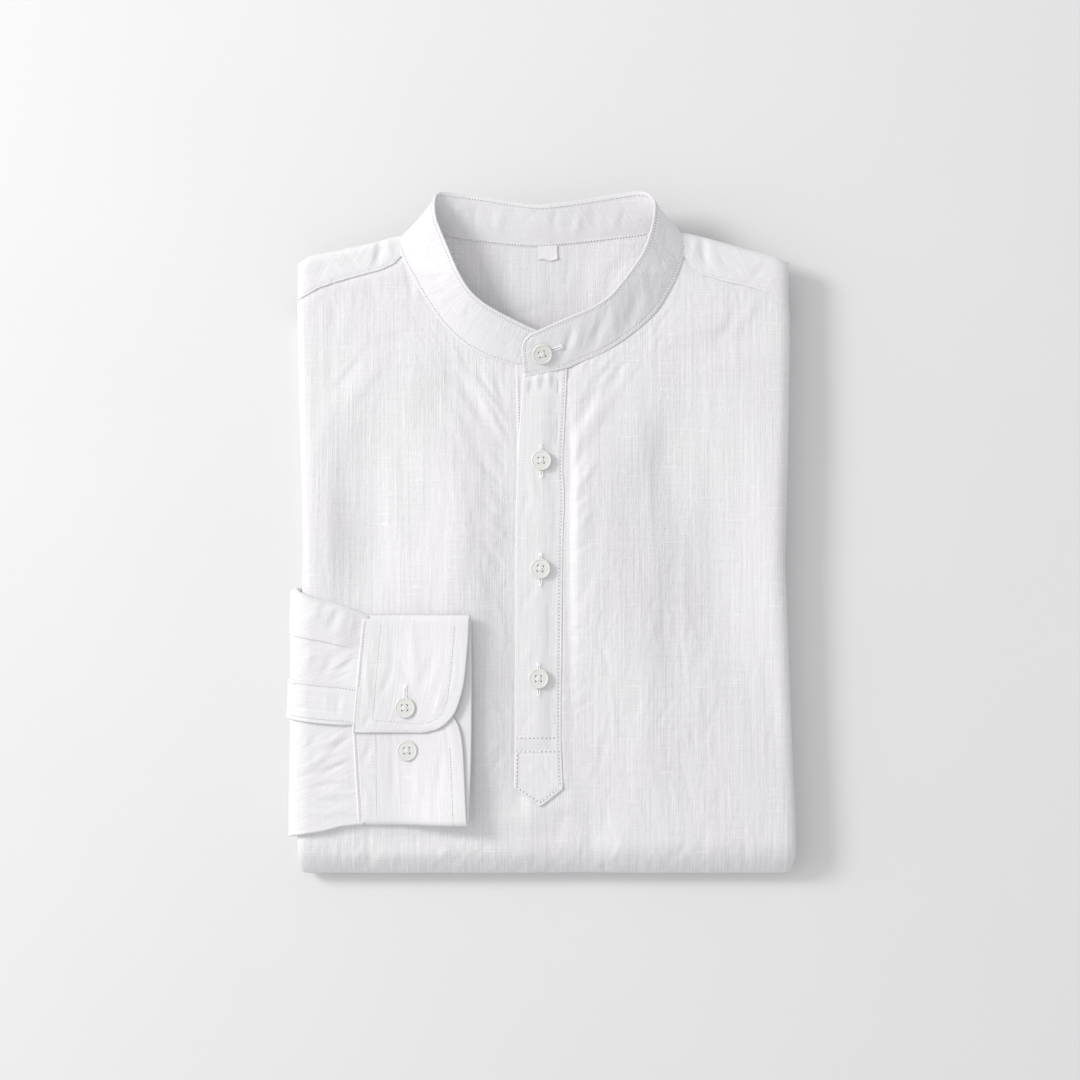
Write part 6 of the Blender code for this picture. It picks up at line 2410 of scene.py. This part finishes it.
class ClothLook(bpy.types.PropertyGroup):
    colour: colour_of("Colour", "The linen's own colour", (0.815, 0.808, 0.822))
    thread_pitch: length_of(
        "Thread pitch", "Distance between neighbouring threads of the weave", 0.00055, 0.0002, 0.002
    )
    slub: strength_of("Slub", "How much the thickness of the threads varies", 1.0, 2.0)
    crease_depth: strength_of(
        "Crease depth",
        "How deep the creases are, as a share of a shirt that has lain folded in a parcel",
        1.0,
        1.6,
    )


class SewingLook(bpy.types.PropertyGroup):
    colour: colour_of("Thread colour", "Colour of the sewing thread", (0.97, 0.965, 0.97))
    stitch_length: length_of(
        "Stitch length", "How much of a stitch shows on the cloth", 0.0012, 0.001, 0.005
    )
    stitch_gap: length_of(
        "Stitch gap", "Distance from the end of one stitch to the start of the next", 0.00045, 0.0002, 0.003
    )
    thread_width: length_of("Thread width", "Thickness of the sewing thread", 0.00036, 0.0001, 0.001)


class ButtonLook(bpy.types.PropertyGroup):
    colour: colour_of("Colour", "Colour of the buttons", (0.76, 0.76, 0.73))


class StageLook(bpy.types.PropertyGroup):
    floor_colour: colour_of("Floor", "Colour of the floor", (0.8, 0.8, 0.8))
    key_power: power_of("Key light", "Power of the large soft light at the upper left", 27.0)
    side_power: power_of("Side panel", "Power of the wide panel of light on the left", 9.0)
    top_power: power_of("Top panel", "Power of the wide panel of light above", 5.0)
    fill: strength_of("Fill", "Strength of the even light from all round", 0.64, 5.0)


class ShirtLook(bpy.types.PropertyGroup):
    cloth: bpy.props.PointerProperty(type=ClothLook)
    sewing: bpy.props.PointerProperty(type=SewingLook)
    buttons: bpy.props.PointerProperty(type=ButtonLook)
    stage: bpy.props.PointerProperty(type=StageLook)


INSIDE_SHADE_TONE = 0.96  # painted shade: share of the cloth's colour on its wrong side inside the neck and on the folded-away layers, which lie in shade
PAINTED_LIGHT_TONE = 1.08  # painted light: share of the cloth's colour on the band's shaded parts, standing for light that comes through the band from behind
PRESSED = 0.62  # share of the linen's unevenness left on the stiffened, pressed pieces


def shared(name, make, *looks):
    """A finish by name, made the first time that it is asked for."""
    return bpy.data.materials.get(name) or make(name, *looks)


def pressed_linen(look):
    """The finish of the stiffened, pressed pieces."""
    return shared("linen_weave_pressed", linen_finish, look, 1.0, PRESSED)


def shaded_inside_linen(look):
    """The darker finish of the cloth's wrong side and of the folded-away layers: painted shade."""
    return shared("linen_weave_inside", linen_finish, look, INSIDE_SHADE_TONE)


def sewing_sizes(look):
    width = look.thread_width / MM
    return Sizes(look.stitch_length / MM, look.stitch_gap / MM, width, width * PIT_RADIUS)


def declare(piece, layers=2, size=None):
    """Works out how large a piece was cut, the size and area of its place in the flat
    cloth, and keeps neither. layers is 2 where the piece has an inner and an outer face."""
    mesh = piece.data
    uv = np.empty(len(mesh.loops) * 2, np.float32)
    mesh.uv_layers[GRAIN].data.foreach_get("uv", uv)
    uv = uv.reshape(-1, 2).astype(float)
    mesh.calc_loop_triangles()
    corners = np.empty(len(mesh.loop_triangles) * 3, np.int32)
    mesh.loop_triangles.foreach_get("loops", corners)
    a, b, c = uv[corners.reshape(-1, 3)].transpose(1, 0, 2)
    first, second = b - a, c - a
    area = np.abs(first[:, 0] * second[:, 1] - first[:, 1] * second[:, 0]).sum() / 2 / layers
    width, length = size or np.ptp(uv, axis=0)
    area = min(area, width * length)


class SHIRT_OT_front(bpy.types.Operator):
    """Add the front: the chest, the bottom fold and the tail folded beneath"""

    bl_idname = "shirt.front"
    bl_label = "Front"

    def execute(self, context):
        look = context.scene.shirt.cloth
        piece = make_front(look, shared("linen_weave", linen_finish, look))
        declare(dress(piece, "linen", "front"), layers=1)
        return {"FINISHED"}


class SHIRT_OT_yoke(bpy.types.Operator):
    """Add the yoke over both shoulders, and the label inside the neck"""

    bl_idname = "shirt.yoke"
    bl_label = "Yoke"

    def execute(self, context):
        look = context.scene.shirt.cloth
        finish = pressed_linen(look)
        piece = dress(make_yoke(look, finish, shaded_inside_linen(look)), "linen", "yoke")
        label = dress(make_label(finish), "linen", "neck_label")
        declare(piece, size=YOKE_CUT)
        return {"FINISHED"}


class SHIRT_OT_band(bpy.types.Operator):
    """Add the collar band"""

    bl_idname = "shirt.band"
    bl_label = "Collar band"

    def execute(self, context):
        look = context.scene.shirt.cloth
        finish = pressed_linen(look)
        # A lighter copy of the pressed linen: painted light on the band's shaded parts.
        lit = shared("linen_weave_lit_through", linen_finish, look, PAINTED_LIGHT_TONE, PRESSED)
        piece = make_band(look, finish, lit)
        declare(dress(piece, "linen", "collar_band"))
        return {"FINISHED"}


class SHIRT_OT_placket(bpy.types.Operator):
    """Add the buttonhole strip and the button stand beneath it"""

    bl_idname = "shirt.placket"
    bl_label = "Placket"

    def execute(self, context):
        look = context.scene.shirt.cloth
        finish = pressed_linen(look)
        stand = dress(make_stand(look, finish), "linen", "button_stand")
        strip = dress(make_strip(look, finish), "linen", "placket_strip")
        declare(stand)
        declare(strip)
        return {"FINISHED"}


class SHIRT_OT_sleeve(bpy.types.Operator):
    """Add the sleeve's end, round the body's left edge, with its own placket"""

    bl_idname = "shirt.sleeve"
    bl_label = "Sleeve"

    def execute(self, context):
        look = context.scene.shirt.cloth
        finish = pressed_linen(look)
        sleeve = dress(make_sleeve(look, finish), "linen", "sleeve")
        gauntlet = dress(make_gauntlet(look, finish), "linen", "sleeve_placket")
        declare(sleeve)
        declare(gauntlet)
        return {"FINISHED"}


class SHIRT_OT_cuff(bpy.types.Operator):
    """Add the folded cuff"""

    bl_idname = "shirt.cuff"
    bl_label = "Cuff"

    def execute(self, context):
        look = context.scene.shirt.cloth
        piece = make_cuff(look, pressed_linen(look))
        declare(dress(piece, "linen", "cuff"))
        return {"FINISHED"}


class SHIRT_OT_inside(bpy.types.Operator):
    """Add the back below the yoke and the layers folded away beneath the chest"""

    bl_idname = "shirt.inside"
    bl_label = "Folded-away layers"

    def execute(self, context):
        look = context.scene.shirt.cloth
        # The darker copy of the linen: painted shade.
        finish = shaded_inside_linen(look)
        layers = dress(make_layers(finish), "linen_folded_away", "hidden_layers")
        back = dress(make_back(look, finish), "linen_folded_away", "back")
        declare(layers, size=LAYERS_CUT)
        declare(back)
        return {"FINISHED"}


class SHIRT_OT_buttons(bpy.types.Operator):
    """Add the six buttons and the thread that holds them"""

    bl_idname = "shirt.buttons"
    bl_label = "Buttons"

    def execute(self, context):
        shirt = context.scene.shirt
        finish = shared("pressed_button", button_finish, shirt.buttons.colour)
        for name in BUTTONS:
            dress(make_button(name, finish), "button", name)
        thread = shared("sewing_thread", thread_finish, shirt.sewing)
        threads_made = joined([button_thread(name) for name in BUTTONS])
        dress(new_piece("button_threads", *threads_made, thread, closed=False), "linen")
        return {"FINISHED"}


class SHIRT_OT_stitching(bpy.types.Operator):
    """Sew the rows of stitches and the buttonholes on the finished cloth"""

    bl_idname = "shirt.stitching"
    bl_label = "Stitching and buttonholes"

    def execute(self, context):
        look = context.scene.shirt.sewing
        sizes = sewing_sizes(look)
        thread = shared("sewing_thread", thread_finish, look)
        rows = {
            "collar_stitches": band_stitching(sizes),
            "yoke_stitches": yoke_stitching(sizes),
            "placket_stitches": placket_stitching(sizes),
            "sleeve_stitches": sleeve_stitching(sizes),
            "cuff_stitches": cuff_stitching(sizes),
            "buttonhole_stitches": buttonhole_stitching(),
        }
        for name, made in rows.items():
            dress(new_piece(name, *made, thread, closed=False), "linen")
        return {"FINISHED"}


CAMERA_PLACE = (-1.7, -3.1, 1702.0)
CAMERA_LENS = 100.0
CAMERA_SENSOR = 36.0
CAMERA_CLIP = 20.0  # metres
FLOOR_SIZE = 6.0  # metres
FLOOR_CELLS = 16  # along each side
LIGHT_COLOUR = (1.0, 0.985, 0.975)
SKY_COLOUR = (0.985, 0.985, 1.0, 1.0)

# The stage's own property that holds the power, then size and distance in metres, height above the floor and
# side from +X towards +Y in degrees.
Lamp = namedtuple("Lamp", "name power size distance height side")
LAMPS = table(Lamp, [
    ("key", "key_power", 0.68, 2.3, 35, 155),
    ("top_panel", "top_power", 1.8, 2.4, 66, 150),
    ("side_panel", "side_power", 2, 2.8, 24, 180),
])


def add_light(lamp, power):
    """A round soft light that faces the middle of the floor."""
    light = bpy.data.lights.new(lamp.name, "AREA")
    light.shape = "DISK"
    light.energy = power
    light.size = lamp.size
    light.color = LIGHT_COLOUR
    holder = bpy.data.objects.new(lamp.name, light)
    high, side = math.radians(lamp.height), math.radians(lamp.side)
    along_floor = math.cos(high)
    towards = Vector((along_floor * math.cos(side), along_floor * math.sin(side), math.sin(high)))
    holder.location = towards * lamp.distance
    holder.rotation_euler = towards.to_track_quat("Z", "Y").to_euler()
    bpy.context.collection.objects.link(holder)


class SHIRT_OT_stage(bpy.types.Operator):
    """Add the floor, the lights and the camera straight above"""

    bl_idname = "shirt.stage"
    bl_label = "Stage"

    def execute(self, context):
        look = context.scene.shirt.stage
        scene = context.scene
        scene.view_settings.view_transform = "Standard"
        half = FLOOR_SIZE / MM / 2
        places = spread(-half, half, 2 * half / FLOOR_CELLS)
        x, y = np.meshgrid(places, places[::-1])
        board = np.stack([x, y, 0 * x], axis=-1)
        finish = shared("painted_floor", floor_finish, look.floor_colour)
        floor = open_cloth("floor", board, board[..., :2], finish)
        world = bpy.data.worlds.new("studio")
        world.use_nodes = True
        sky = world.node_tree.nodes["Background"]
        sky.inputs["Color"].default_value = SKY_COLOUR
        sky.inputs["Strength"].default_value = look.fill
        scene.world = world
        for lamp in LAMPS:
            add_light(lamp, getattr(look, lamp.power))
        camera = bpy.data.objects.new("camera", bpy.data.cameras.new("camera"))
        camera.data.lens = CAMERA_LENS
        camera.data.sensor_width = CAMERA_SENSOR
        camera.data.clip_end = CAMERA_CLIP
        camera.location = Vector(CAMERA_PLACE) * MM
        context.collection.objects.link(camera)
        scene.camera = camera
        return {"FINISHED"}


BUILDERS = (
    SHIRT_OT_inside,
    SHIRT_OT_front,
    SHIRT_OT_yoke,
    SHIRT_OT_band,
    SHIRT_OT_placket,
    SHIRT_OT_sleeve,
    SHIRT_OT_cuff,
    SHIRT_OT_buttons,
    SHIRT_OT_stitching,
    SHIRT_OT_stage,
)
LOOKS = (ClothLook, SewingLook, ButtonLook, StageLook, ShirtLook)


class SHIRT_PT_panel(bpy.types.Panel):
    """Sizes, colours and pieces of the shirt"""

    bl_idname = "SHIRT_PT_panel"
    bl_label = "Folded henley shirt"
    bl_space_type = "VIEW_3D"
    bl_region_type = "UI"
    bl_category = "Shirt"

    def draw(self, context):
        shirt = context.scene.shirt
        for group in (shirt.cloth, shirt.sewing, shirt.buttons, shirt.stage):
            box = self.layout.box()
            for name in group.__annotations__:
                box.prop(group, name)
        for builder in BUILDERS:
            self.layout.operator(builder.bl_idname)


def register():
    for kind in LOOKS + BUILDERS + (SHIRT_PT_panel,):
        bpy.utils.register_class(kind)
    bpy.types.Scene.shirt = bpy.props.PointerProperty(type=ShirtLook)


def unregister():
    del bpy.types.Scene.shirt
    for kind in reversed(LOOKS + BUILDERS + (SHIRT_PT_panel,)):
        bpy.utils.unregister_class(kind)


def main():
    register()
    for builder in BUILDERS:
        group, name = builder.bl_idname.split(".")
        getattr(getattr(bpy.ops, group), name)()


if __name__ == "__main__":
    main()
